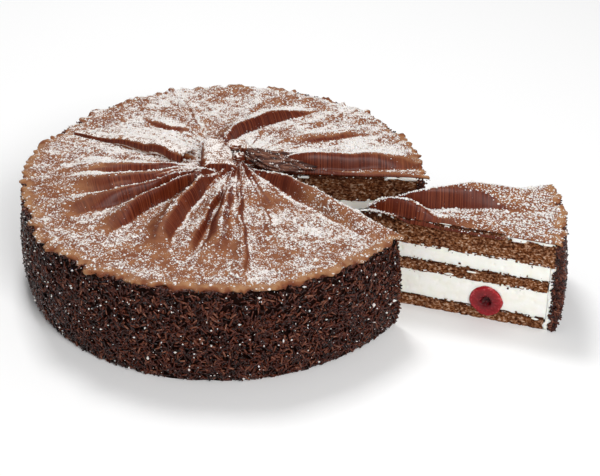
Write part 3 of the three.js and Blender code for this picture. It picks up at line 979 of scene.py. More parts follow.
@dataclass
class ChocolateSheet:
    """The thin sheet of chocolate over one sector.

    Attributes:
        sector: The sector it covers.
        pleats: Its ridges.
        node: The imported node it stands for.
        steps: Grid steps round and outwards.
        inner: Distance from the tip where it begins, in mm.
        gather: How far the gathered middle stands up, in mm.
        overhangs: How far its edges hang over the first and the second cut, in mm.
        seed: Seed of its wrinkles.
        dents: Distance, direction, radius and depth of each shallow dent.
    """

    sector: Sector
    pleats: tuple[Pleat, ...]
    node: str
    steps: tuple[int, int]
    inner: float
    gather: float
    overhangs: tuple[float, float]
    seed: int
    dents: tuple[tuple[float, float, float, float], ...] = ()

    RADIUS = 142.0
    THICKNESS = 1.5
    RIM_TOP = 72.1
    RESTING = 71.7
    CURL = 3.2
    GATHER_REACH = 45.0
    GATHER_REST = 0.04
    PUCKERS = 17
    PUCKER_REACH = 34.0
    # Where the sugar came from, and also where the painted light on the sheet comes from.
    SIFTED_AND_LIT_FROM = (0.0, 0.35, 0.94)
    ROLL_AT = 161.0
    ROLL_WIDTH = 7.0
    NEAR_CUT_AT = 294.0
    NEAR_CUT_FILM = 0.75
    NEAR_CUT_DUST = 0.34
    DUSTY_SPOT = (302.0, 72.0)
    DUSTY_RADIUS = 42.0
    WORN_FROM = 58.0
    WORN_OVER = 62.0
    WORN = 0.3
    SIFTED = 0.94
    DRAWN = 0.4
    FLANK_DUST = 0.04

    def rim(self, angle: Array) -> Array:
        """Ragged outer radius in mm for each direction.

        Args:
            angle: Directions in degrees.

        Returns:
            Radii in mm.
        """
        ragged = LatticeNoise(self.seed)
        arc = stack(np.radians(angle) * self.RADIUS, 0.0, 0.0)
        lobes = 2.0 * ragged.at(arc, 13.0) + 3.2 * ragged.at(arc + 9.0, 5.2)
        lobes += 2.6 * ragged.at(arc + 21.0, 2.8)
        notches = np.clip(ragged.at(arc + 77.0, 3.6) - 0.30, 0.0, 1.0) * 7.0
        return self.RADIUS + lobes - notches

    def edge_height(self, distance: Array, at_end: bool) -> Array:
        """Upper face along a cut.

        Args:
            distance: Distance from the tip in mm.
            at_end: Whether it is the sector's second cut; not used here.

        Returns:
            Its height in mm.
        """
        return np.full(len(distance), self.RESTING)

    def height(self, distance: Array, angle: Array) -> tuple[Array, Array, Array]:
        """Upper face without its fine wrinkles.

        Args:
            distance: Distance from the tip in mm.
            angle: Direction in degrees.

        Returns:
            Height in mm, sideways lean in mm, and share of crest or foot lines.
        """
        height = self.RIM_TOP + self.gather * (np.exp(-distance / self.GATHER_REACH) - self.GATHER_REST)
        lean = np.zeros(len(distance))
        line = np.zeros(len(distance))
        for pleat in self.pleats:
            rise, tilt, mark = pleat.form(distance, angle)
            height = height + rise
            lean += tilt
            line = np.maximum(line, mark)
        return height, lean, line

    def wrinkles(self, distance: Array, angle: Array) -> Array:
        """Fine puckers, dents and swells of the sheet.

        Args:
            distance: Distance from the tip in mm.
            angle: Direction in degrees.

        Returns:
            Their height in mm.
        """
        rough = LatticeNoise(self.seed + 5)
        near = np.clip(distance / self.PUCKER_REACH, 0.0, 1.0)
        pucker = np.sin(np.radians(angle * self.PUCKERS + 40.0 * np.sin(distance / 9.0)))
        total = (self.gather > 0) * 1.5 * pucker * np.sin(np.pi * smooth(near))
        radial = stack(angle * 0.55, distance / 30.0, 0.0)
        total += 1.1 * rough.layered(radial, 1.6, 3) * np.exp(-distance / 75.0)
        flat = self.sector.point(angle, distance, 0.0)
        for out, way, radius, depth in self.dents:
            away = np.linalg.norm(flat - self.sector.spot(way, out), axis=1) / radius
            total -= depth * np.exp(-(away**2))
        return total + 1.0 * rough.layered(flat, 24.0, 2) + 0.45 * rough.layered(flat + 60.0, 7.0, 2)

    def shape(self, turn: Array, out: Array) -> tuple[Array, dict[str, Array]]:
        """Places the sheet's grid.

        Args:
            turn: Share of the turn from the first cut to the second.
            out: Share of the way from the tip to the rim.

        Returns:
            Points in mm, and the distance, direction and line share of each.
        """
        rough = LatticeNoise(self.seed + 8)
        angle = self.sector.angle(turn)
        rim = self.sector.reach(angle, self.rim(angle))
        distance = self.inner + (rim - self.inner) * out**1.05
        along = smooth((distance - 16.0) / 24.0)
        for at_end, over in enumerate(self.overhangs):
            side = 1.0 if at_end else -1.0
            share = smooth(((turn if at_end else 1.0 - turn) - 0.88) / 0.12)
            angle = angle + side * share * np.degrees(over * along / np.maximum(distance, 15.0))
        height, lean, line = self.height(distance, angle)
        height = height + self.wrinkles(distance, angle)
        edge = np.clip((distance - rim + 8.0) / 8.0, 0.0, 1.0)
        flat = self.sector.point(angle, distance, 0.0)
        height += edge**2 * (-0.6 + 1.0 * rough.at(flat, 7.0) + 1.5 * rough.at(flat + 50.0, 3.6))
        span = np.radians(abs(self.sector.end - self.sector.start)) * distance
        for at_end in (False, True):
            arc = span * ((1.0 - turn) if at_end else turn)
            fall = np.clip(1.0 - arc / self.CURL, 0.0, 1.0) ** 2
            target = np.minimum(self.edge_height(distance, at_end), height)
            height = height + (target - height) * fall
        angle = angle + np.degrees(lean / np.maximum(distance, 12.0))
        points = self.sector.point(angle, distance, height)
        return points, {"distance": distance, "angle": angle, "line": line, "rim": rim}

    def by_near_cut(self, facts: dict[str, Array]) -> Array:
        """How near the worn stretch beside the near cut points are, from 0 to 1."""
        turned = smooth((facts["angle"] - self.NEAR_CUT_AT) / 16.0)
        return turned * smooth((facts["distance"] - 44.0) / 36.0)

    def film_and_top_light(self, facing: Array, back: Array, facts: dict[str, Array]) -> Array:
        """Dull bloom of handled chocolate together with painted light: where the sheet faces up and back
        it is painted paler, and the flanks keep the darker colour with painted shade.

        Args:
            facing: How much each point faces up and back, where the sugar came from and where the painted
                light comes from.
            back: How far at the back it is, from 0 to 1.
            facts: What shape found for it.

        Returns:
            The strength of bloom and painted light, from 0 to 1.
        """
        inland = smooth((facts["rim"] - facts["distance"] - 1.5) / 9.0)
        outer = smooth((facts["distance"] - self.WORN_FROM) / self.WORN_OVER)
        # Painted light: the more a point faces up and back, the paler it is painted; flanks keep the
        # painted shade.
        film_and_top_light = smooth((facing - 0.62) / 0.28) * (0.74 + 0.26 * (1.0 - inland) * (1.0 - 0.6 * back))
        film_and_top_light = np.maximum(film_and_top_light, self.WORN * outer * smooth((facing - 0.3) / 0.3))
        film_and_top_light = np.maximum(film_and_top_light, self.NEAR_CUT_FILM * self.by_near_cut(facts))
        from_roll = turn_between(self.ROLL_AT, facts["angle"]) / self.ROLL_WIDTH
        rolled = np.exp(-(from_roll**2)) * (self.gather > 0.0)
        return np.maximum(film_and_top_light, 0.8 * rolled * smooth((facing - 0.25) / 0.3))

    def sugar(self, points: Array, facing: Array, back: Array, facts: dict[str, Array]) -> Array:
        """Sugar sifted on the sheet.

        Args:
            points: The sheet's points in mm.
            facing: How much each faces where the sugar came from.
            back: How far at the back it is, from 0 to 1.
            facts: What shape found for it.

        Returns:
            How much lies there, from 0 to 1.
        """
        patches = LatticeNoise(self.seed + 9)
        distance = facts["distance"]
        inland = smooth((facts["rim"] - distance - 1.5) / 9.0)
        outer = smooth((distance - self.WORN_FROM) / self.WORN_OVER)
        lying = 0.35 * smooth((facing - 0.74) / 0.18) + 0.27 * smooth((facing - 0.92) / 0.06)
        cloud = 1.0 + 0.55 * patches.layered(points, 30.0, 2) + 0.3 * patches.at(points + 80.0, 8.0)
        patchy = np.clip(0.75 + 0.9 * patches.at(points + 33.0, 12.0), 0.0, 1.0)
        bare_rim = 1.0 - (1.0 - back) * 0.5 * (1.0 - inland)
        spot = self.sector.spot(*self.DUSTY_SPOT)
        away = np.linalg.norm((points - spot) * [1.0, 1.0, 0.0], axis=1) / self.DUSTY_RADIUS
        front_right = 0.12 * smooth((facing - 0.8) / 0.1) * np.exp(-(away**2))
        middle = 0.36 * np.exp(-((distance / 34.0) ** 2)) * smooth((facing - 0.45) / 0.3)
        dust = lying * cloud + front_right + middle + self.DRAWN * facts["line"] * patchy
        dust = np.maximum(dust, self.FLANK_DUST * outer * smooth((facing - 0.2) / 0.3))
        dust = np.maximum(dust, self.NEAR_CUT_DUST * self.by_near_cut(facts))
        return np.clip(dust * (bare_rim * self.SIFTED), 0.0, 1.0)

    def dress(self, mesh: bpy.types.Mesh, facts: dict[str, Array]) -> None:
        """Stores where bloom with painted light and sugar lie, and how the scrape lines run.

        Args:
            mesh: The sheet's mesh.
            facts: What shape found for its vertices.
        """
        normals = vertex_normals(mesh)
        normals *= np.where(normals[:, 2:] < 0.0, -1.0, 1.0)
        points = coordinates(mesh) / MM
        # One direction for sugar and for painted light.
        facing = normals @ (np.array(self.SIFTED_AND_LIT_FROM) / np.linalg.norm(self.SIFTED_AND_LIT_FROM))
        back = smooth((points[:, 1] - 10.0) / 100.0)
        set_attribute(mesh, "film_and_top_light", self.film_and_top_light(facing, back, facts))
        set_attribute(mesh, "dust", self.sugar(points, facing, back, facts))
        across = np.radians(facts["angle"]) * np.maximum(facts["distance"], 10.0) / 24.0
        set_lay(mesh, across, facts["distance"])

    def build(self, name: str, pantry: Pantry) -> bpy.types.Object:
        """Makes the sheet and dresses it.

        Args:
            name: Name of the piece.
            pantry: The materials.

        Returns:
            The piece.
        """
        facts: dict[str, Array] = {}

        def place(grid: Array) -> Array:
            """Points of the sheet for the unit grid's points.

            Args:
                grid: Points over 0..1 in x and y.

            Returns:
                Points in mm.
            """
            points, found = self.shape(grid[:, 0], grid[:, 1])
            facts.update(found)
            return points

        made = to_object(name, unit_panel(*self.steps), place)
        self.dress(made.data, facts)
        close_mesh(made)
        solidify(made, self.THICKNESS)
        return finish_piece(made, pantry.chocolate, Slot.CHOCOLATE, self.node)


@dataclass
class SliceSheet(ChocolateSheet):
    """The slice's part of the sheet, which sags over the near cut."""

    CURL = 7.0
    WORN_FROM = 36.0
    WORN = 0.75
    SIFTED = 0.54
    DRAWN = 0.15
    FLANK_DUST = 0.36
    SAG = 67.2
    SAG_FROM = 24.0
    SAG_TO = 107.0

    def edge_height(self, distance: Array, at_end: bool) -> Array:
        """Upper face along a cut, in mm, which sags at the first one.

        Args:
            distance: Distance from the tip in mm.
            at_end: Whether it is the sector's second cut.

        Returns:
            Its height in mm.
        """
        if at_end:
            return super().edge_height(distance, at_end)
        inside = smooth((distance - self.SAG_FROM) / 14.0) * smooth((self.SAG_TO - distance) / 8.0)
        return self.RESTING + (self.SAG - self.RESTING) * inside


@dataclass(frozen=True)
class Knot:
    """One crumpled end of a pleat.

    Attributes:
        place: Its centre from the sheet's tip across and along, and its height, in mm.
        wide: Half its width in mm.
        tall: Half its height in mm.
    """

    place: tuple[float, float, float]
    wide: float
    tall: float


@dataclass(frozen=True)
class Leaf:
    """One pleat end that the knife went through.

    Attributes:
        heading: Direction it lies in, in degrees.
        length: Its length in mm.
        wide: Its width in mm.
        start: Distance of its inner end from the tip in mm.
        proud: How far it lies over the lowest one, in mm.
    """

    heading: float
    length: float
    wide: float
    start: float
    proud: float


@dataclass
class GatheredMiddle:
    """What lies on the middle of the sheet: the rolled edge, the folded tab, the
    knots beside it and the pleat ends that the knife went through.

    Attributes:
        sheet: The cake's sheet, on which they rest.
        pantry: The materials.
    """

    sheet: ChocolateSheet
    pantry: Pantry

    ROLL_MOUTH = 6.6
    ROLL_TAIL = 1.2
    ROLL_LENGTH = 98.0
    ROLL_START = (166.0, 38.5)
    ROLL_HEADING = 155.0
    TAB_WIDTH = 26.0
    TAB_DEPTH = 32.0
    TAB_HEIGHT = 87.4
    TAB_PLACE = (-16.5, 1.5)
    LEAF_HEIGHT = 73.0
    KNOTS = (
        Knot((4.5, 9.5, 84.6), 4.6, 3.6),
        Knot((0.5, -1.5, 84.6), 4.6, 3.8),
        Knot((-3.0, 17.0, 84.0), 8.0, 3.0),
        Knot((8.5, -2.0, 82.4), 4.4, 3.8),
    )
    LEAVES = (
        Leaf(17.0, 46.0, 8.0, 6.0, 0.6),
        Leaf(8.0, 44.0, 9.0, 7.0, 1.6),
        Leaf(-1.0, 44.0, 10.0, 8.0, 0.0),
        Leaf(-10.0, 38.0, 9.0, 6.0, 1.2),
        Leaf(-19.0, 30.0, 8.0, 5.0, 0.2),
    )

    def _ground(self, points: Array) -> Array:
        """Height of the sheet under points given in the row frame.

        Args:
            points: Points in mm.

        Returns:
            Heights in mm.
        """
        offset = points[:, :2] - np.array(self.sheet.sector.tip)
        distance = np.hypot(offset[:, 0], offset[:, 1])
        angle = np.degrees(np.arctan2(offset[:, 1], offset[:, 0])) % 360.0
        return self.sheet.height(distance, angle)[0]

    def _dress(self, made: bpy.types.Object, dust: float, material: bpy.types.Material) -> None:
        """Dresses a piece, with sugar on its upper side, a dull bloom and painted light that make its
        upper side paler, and a plain lay.

        Args:
            made: The piece.
            dust: How much sugar lies on it, from 0 to 1.
            material: Its material.
        """
        mesh = made.data
        normals = vertex_normals(mesh)
        up = np.abs(normals[:, 2]) + 0.25 * normals[:, 1] * np.sign(normals[:, 2])
        points = coordinates(mesh) / MM
        cloud = 1.0 + 0.3 * LatticeNoise(47).layered(points, 6.0, 2)
        # Painted light, part bloom: the more a side faces up, the paler it is painted.
        set_attribute(mesh, "film_and_top_light", 0.8 * smooth((up - 0.2) / 0.5))
        set_attribute(mesh, "dust", np.clip(dust * cloud * smooth((up - 0.35) / 0.35), 0.0, 1.0))
        set_lay(mesh, points[:, 1] / 20.0, points[:, 0] / 1.2)
        finish_piece(made, material, Slot.CHOCOLATE, self.sheet.node)

    def rolled_edge(self) -> None:
        """The back pleat's crest, rolled round itself and open at the middle."""
        start = self.sheet.sector.spot(*self.ROLL_START)
        along_way = level_way(self.ROLL_HEADING)
        side_way = np.cross(along_way, UPWARDS)
        rough = LatticeNoise(41)

        def place(grid: Array) -> Array:
            """Points of the spiral for the unit grid's points.

            Args:
                grid: Points over 0..1 in x and y.

            Returns:
                Points in mm.
            """
            out, wrap = grid[:, 1] ** 1.2, grid[:, 0]
            ragged = 2.2 * rough.at(stack(wrap * 7.0, 0.0, 0.0), 1.0) + 5.0 * (wrap - 0.5)
            along = out * self.ROLL_LENGTH + ragged * (1.0 - out) ** 3
            around = 1.15 * np.pi - wrap * 3.3 * np.pi
            outer = self.ROLL_MOUTH + (self.ROLL_TAIL - self.ROLL_MOUTH) * smooth(out * 0.95)
            radius = outer * (1.0 - 0.55 * wrap)
            middle = start + along[:, None] * along_way
            bend = 3.0 * np.sin(np.pi * out) - outer * 0.45
            side = bend - radius * np.cos(around)
            rest = (self._ground(middle) + self._ground(middle - 3.0 * side_way)) * 0.5
            points = middle + side[:, None] * side_way
            points[:, 2] = rest + outer * 0.05 + radius * np.sin(around)
            points[:, 2] += 0.3 * rough.at(points * [1.0, 1.0, 0.0], 8.0)
            return points

        made = to_object("cake_rolled_edge", unit_panel(110, 90), place)
        self._dress(made, 0.62, self.pantry.chocolate)
        solidify(made, 1.0)

    def folded_tab(self) -> None:
        """The sheet's end, folded over the middle and hemmed at its front."""
        rough = LatticeNoise(43)
        middle = np.add(self.sheet.sector.tip, self.TAB_PLACE)

        def place(grid: Array) -> Array:
            """Points of the tab for the unit grid's points.

            Args:
                grid: Points over 0..1 in x and y.

            Returns:
                Points in mm.
            """
            u, v = grid[:, 0] - 0.5, grid[:, 1] - 0.5
            x = 1.5 + u * self.TAB_WIDTH * (0.92 - 0.12 * np.sin(3.0 * v)) - 4.5 * v
            x += 1.2 * rough.at(stack(0.0, v * 5.0, 0.0), 1.0)
            y = v * self.TAB_DEPTH + 1.6 * rough.at(stack(u * 4.0, 0.0, 3.0), 1.0)
            sides = -6.0 * np.abs(2.0 * u) ** 6
            hem = -8.0 * smooth((-v - 0.40) / 0.10)
            tail = -4.0 * smooth((v - 0.36) / 0.14)
            bow = 1.8 * np.cos(np.pi * u) + 1.0 * np.cos(2.0 * np.pi * (v - 0.1))
            from_valley = (u - 0.22 - 0.5 * v) * 23.0 / 3.0
            valley = -3.4 * np.exp(-(from_valley**2)) * smooth((v + 0.35) / 0.3)
            ledge = 1.3 * np.exp(-(((v + 0.30 + 0.15 * u) * 32.0 / 2.6) ** 2))
            wrinkle = 0.9 * rough.layered(stack(x, y, 0.0), 8.0, 3)
            z = self.TAB_HEIGHT + y * 0.22 + sides + hem + tail + bow + valley + ledge + wrinkle
            return stack(middle[0] + x, middle[1] + y, z)

        made = to_object("cake_folded_tab", unit_panel(80, 90), place)
        self._dress(made, 0.6, self.pantry.chocolate)
        solidify(made, 1.3)

    def gather_knot(self, number: int, knot: Knot) -> None:
        """Makes one knot.

        Args:
            number: Its number from 0.
            knot: Where it lies and how large it is.
        """
        rough = LatticeNoise(90 + number)
        centre = np.array([*self.sheet.sector.tip, 0.0]) + knot.place

        def place(ball: Array) -> Array:
            """Points of the knot for the ball's points."""
            folds = 1.0 + 0.30 * rough.layered(ball * [1.0, 1.0, 2.2], 0.55, 3)
            return centre + ball * folds[:, None] * [knot.wide, knot.wide * 0.8, knot.tall]

        made = to_object(f"cake_gather_knot_{number + 1}", fine_ball(4), place)
        self._dress(made, 0.6, self.pantry.chocolate)

    def torn_pleat(self, number: int, leaf: Leaf) -> None:
        """Makes one leaf, ragged at its outer end.

        Args:
            number: Its number from 0.
            leaf: Where it lies and how large it is.
        """
        rough = LatticeNoise(50 + number)
        along_way = level_way(leaf.heading)
        down_way = np.cross(along_way, UPWARDS)
        tip = np.array([*self.sheet.sector.tip, 0.0])

        def place(grid: Array) -> Array:
            """Points of the leaf for the unit grid's points.

            Args:
                grid: Points over 0..1 in x and y.

            Returns:
                Points in mm.
            """
            out, over = grid[:, 0], grid[:, 1]
            ragged = 3.5 * rough.at(stack(over * 6.0, 0.0, 0.0), 1.0)
            ragged += 2.0 * rough.at(stack(over * 14.0, 0.0, 7.0), 1.0)
            along = leaf.start + out * (leaf.length + ragged)
            taper = 0.35 + 0.65 * np.sin(np.pi * np.clip(0.12 + 0.8 * out, 0.0, 1.0))
            across = (over - 0.35) * leaf.wide * taper
            uneven = 1.3 * rough.layered(stack(along, over * 3.0, 0.0), 7.0, 3)
            lift = 13.0 * np.exp(-along / 45.0) + 3.0 * (1.0 - out) - 0.5 * across
            lip = 1.8 * smooth((over - 0.7) / 0.3)
            ridges = 0.5 * rough.at(stack(along / 10.0, over * 5.0, 2.0), 1.0)
            ridges += 0.9 * rough.at(stack(along, 0.0, 5.0), 11.0)
            points = tip + along[:, None] * along_way + (across + uneven)[:, None] * down_way
            points[:, 2] = self.LEAF_HEIGHT + leaf.proud + lift + lip + ridges
            return points

        made = to_object(f"cake_torn_pleat_{number + 1}", unit_panel(70, 22), place)
        self._dress(made, 0.22, self.pantry.torn)
        solidify(made, 1.1)

    def build(self) -> None:
        """Makes all of them."""
        self.rolled_edge()
        self.folded_tab()
        for number, knot in enumerate(self.KNOTS):
            self.gather_knot(number, knot)
        for number, leaf in enumerate(self.LEAVES):
            self.torn_pleat(number, leaf)


# ------------------------------------------------------------------ layers


class Crumb(Enum):
    """How a cut layer's surface is."""

    SPONGE = 1
    CREAM = 2


@dataclass
class CutLayer:
    """One layer of a sector as a closed block with fine cut faces.

    Attributes:
        name: Name of the piece and of the node it stands for.
        sector: The sector.
        kind: Sponge or cream.
        steps: Grid steps round, outwards and up.
        seed: Seed of its crumb.
        crust: How far its dark crust reaches down from its top, in mm.
        spread: How far its cut faces smear outwards over the coat, in mm.
        lift: How far its cut faces smear up over the top coat, in mm.
        painted_shade: How dark painted shade makes all of it, from 0 to 1.
    """

    name: str
    sector: Sector
    kind: Crumb
    steps: tuple[int, int, int]
    seed: int
    crust: float = 0.0
    spread: float = 0.0
    lift: float = 0.0
    painted_shade: float = 0.0

    WALLS = {"base_sponge": 134.0, "middle_sponge": 134.6, "top_sponge": 136.8}
    FILLING = 135.0

    def radius(self) -> float:
        """Outer radius of the layer in mm."""
        plain = self.name.split("_", 1)[1]
        return self.WALLS.get(plain, self.FILLING)

    def sponge_relief(self, points: Array) -> Array:
        """Height of the crumb over the cut in mm: lumps, grains and pores.

        Args:
            points: Points in mm.

        Returns:
            Height over the cut in mm.
        """
        rough = LatticeNoise(self.seed)
        lumps = 0.35 * rough.layered(points, 6.0, 2) + 0.30 * rough.at(points, 2.1)
        pores = np.clip(rough.at(points + 13.0, 1.5) - 0.18, 0.0, 1.0) * 1.6
        pits = np.clip(rough.at(points + 40.0, 3.4) - 0.42, 0.0, 1.0) * 3.2
        return 0.45 + lumps - pores - pits

    def cream_relief(self, points: Array, distance: Array) -> Array:
        """Soft swells and knife drags of cream.

        Args:
            points: Points in mm.
            distance: Distance of each from the tip in mm.

        Returns:
            Height over the cut in mm.
        """
        rough = LatticeNoise(self.seed)
        drag = stack(distance / 14.0, points[:, 2] / 1.3, 0.0)
        pocks = np.clip(rough.at(points + 5.0, 2.0) - 0.5, 0.0, 1.0) * 1.6
        return 0.2 * rough.layered(points, 9.0, 2) + 0.12 * rough.at(drag, 1.0) - pocks

    def shape(self, block: Array, low: float, high: float) -> Array:
        """Places the unit block's points.

        Args:
            block: Shares of the turn, the way outwards and the way up.
            low: The layer's lowest point in mm.
            high: Its highest point in mm.

        Returns:
            Points in mm.
        """
        rough = LatticeNoise(self.seed + 3)
        turn, out, up = block.T
        angle = self.sector.angle(turn)
        on_cut = (turn < 1e-6) | (turn > 1.0 - 1e-6)
        distance = out * self.sector.reach(angle, self.radius() + self.spread * on_cut)
        flat = self.sector.point(angle, distance, 0.0)
        waver = 0.55 * rough.layered(flat, 5.5, 2) + 0.35 * rough.at(flat, 1.5)
        if self.kind is Crumb.CREAM:
            bottom, top = low - 1.4 * on_cut, high + 1.4 * on_cut
        else:
            bottom = low + waver * on_cut * (low > 1.0)
            top = high + on_cut * (waver * 0.8 + self.lift)
        height = bottom + (top - bottom) * up
        points = self.sector.point(angle, distance, height)
        if self.kind is Crumb.SPONGE:
            proud = self.sponge_relief(points)
        else:
            proud = self.cream_relief(points, distance)
            to_cherry = np.hypot(distance - CutCherry.DISTANCE, points[:, 2] - CutCherry.HEIGHT)
            holds_cherry = (turn > 0.5) == (self.sector.end > 180.0)
            proud -= 6.0 * smooth((11.2 - to_cherry) / 1.6) * holds_cherry
        inner = smooth(distance / 3.0)
        return points + self.sector.outward(turn > 0.5) * (proud * on_cut * inner)[:, None]

    def build(self, pantry: Pantry) -> bpy.types.Object:
        """Makes the layer and dresses it.

        Args:
            pantry: The materials.

        Returns:
            The piece.
        """
        low, high = CakeFrame.heights(self.name)
        block = unit_block(self.steps)
        made = to_object(self.name + "_cut", block, lambda grid: self.shape(grid, low, high))
        close_mesh(made)
        if self.kind is Crumb.CREAM:
            return finish_piece(made, pantry.cream, Slot.CREAM, self.name)
        points = coordinates(made.data) / MM
        rough = LatticeNoise(self.seed + 7)
        from_top = high + self.lift - points[:, 2] + 1.6 * rough.at(points, 2.6)
        inward = np.hypot(*(points[:, :2] - np.array(self.sector.tip)).T)
        deep = self.crust + self.lift * 1.2 * np.exp(-((inward / 60.0) ** 2))
        crust = smooth((deep + 0.8 - from_top) / 1.6)
        # Painted shade: the whole layer takes at least this much of the crust colour.
        set_attribute(made.data, "crust", np.maximum(crust, self.painted_shade))
        return finish_piece(made, pantry.sponge, Slot.SPONGE, self.name)


# ------------------------------------------------------------------ cherry


@dataclass
class CutCherry:
    """Half a stoned cherry in a cut face.

    Attributes:
        name: Name of the piece.
        node: The node it stands for.
        sector: The sector whose cut it lies in.
        at_end: Whether it lies in the sector's second cut.
    """

    name: str
    node: str
    sector: Sector
    at_end: bool

    DISTANCE = 93.5
    HEIGHT = 15.0
    RADIUS = 12.0
    PROUD = 0.9
    STEPS = 56
    PROFILE = (
        (0.0, -2.6), (1.4, -2.5), (2.5, -2.0), (3.3, -0.9), (4.0, 0.2), (5.0, 0.7), (7.0, 0.45),
        (9.4, 0.6), (10.8, 0.75), (11.6, 0.2), (12.0, -1.2), (11.7, -4.0), (10.2, -7.2), (7.0, -10.2),
        (3.4, -11.6), (0.0, -12.0),
    )

    def build(self, pantry: Pantry) -> bpy.types.Object:
        """Spins the cherry, wrinkles it and sets it in the cut.

        Args:
            pantry: The materials.

        Returns:
            The piece.
        """
        shape = bmesh.new()
        rim = [shape.verts.new((radius, 0.0, depth)) for radius, depth in self.PROFILE]
        edges = [shape.edges.new(pair) for pair in zip(rim, rim[1:])]
        bmesh.ops.subdivide_edges(shape, edges=edges, cuts=2)
        bmesh.ops.spin(
            shape, geom=shape.verts[:] + shape.edges[:], cent=(0, 0, 0), axis=UPWARDS,
            angle=2 * math.pi, steps=self.STEPS, use_merge=True, use_duplicate=False,
        )
        bmesh.ops.remove_doubles(shape, verts=shape.verts, dist=1e-3)
        bmesh.ops.recalc_face_normals(shape, faces=shape.faces)
        direction = self.sector.end if self.at_end else self.sector.start
        along = level_way(direction)
        out = self.sector.outward(np.array([self.at_end]))[0]
        centre = self.sector.spot(direction, self.DISTANCE, self.HEIGHT)
        facts: dict[str, Array] = {}

        def place(local: Array) -> Array:
            """Points of the cherry for the spun profile's points.

            Args:
                local: Points round the axis, in mm.

            Returns:
                Points in mm.
            """
            rough = LatticeNoise(61 + self.at_end)
            around = np.arctan2(local[:, 1], local[:, 0])
            radius = np.hypot(local[:, 0], local[:, 1])
            facts["radius"] = radius / self.RADIUS
            fibre = rough.at(stack(np.cos(around) * 7.0, np.sin(around) * 7.0, radius / 6.0), 1.0)
            depth = local[:, 2] + 0.35 * fibre + 0.3 * rough.layered(local, 3.0, 2)
            hollow = smooth((5.0 - radius) / 2.5)
            corners = np.cos(3.0 * around + np.pi / 2.0)
            swell = 1.0 + 0.09 * rough.at(local, 7.0) + 0.22 * hollow * corners
            across, high = local[:, 0] * swell, local[:, 1] * swell * 0.96
            flat = centre + across[:, None] * along + stack(0.0, 0.0, high)
            return flat + (depth + self.PROUD)[:, None] * out

        made = to_object(self.name, shape, place)
        set_attribute(made.data, "radius", facts["radius"])
        close_mesh(made)
        return finish_piece(made, pantry.cherry, Slot.CHERRY, self.node)


# ------------------------------------------------------------------ sprinkles


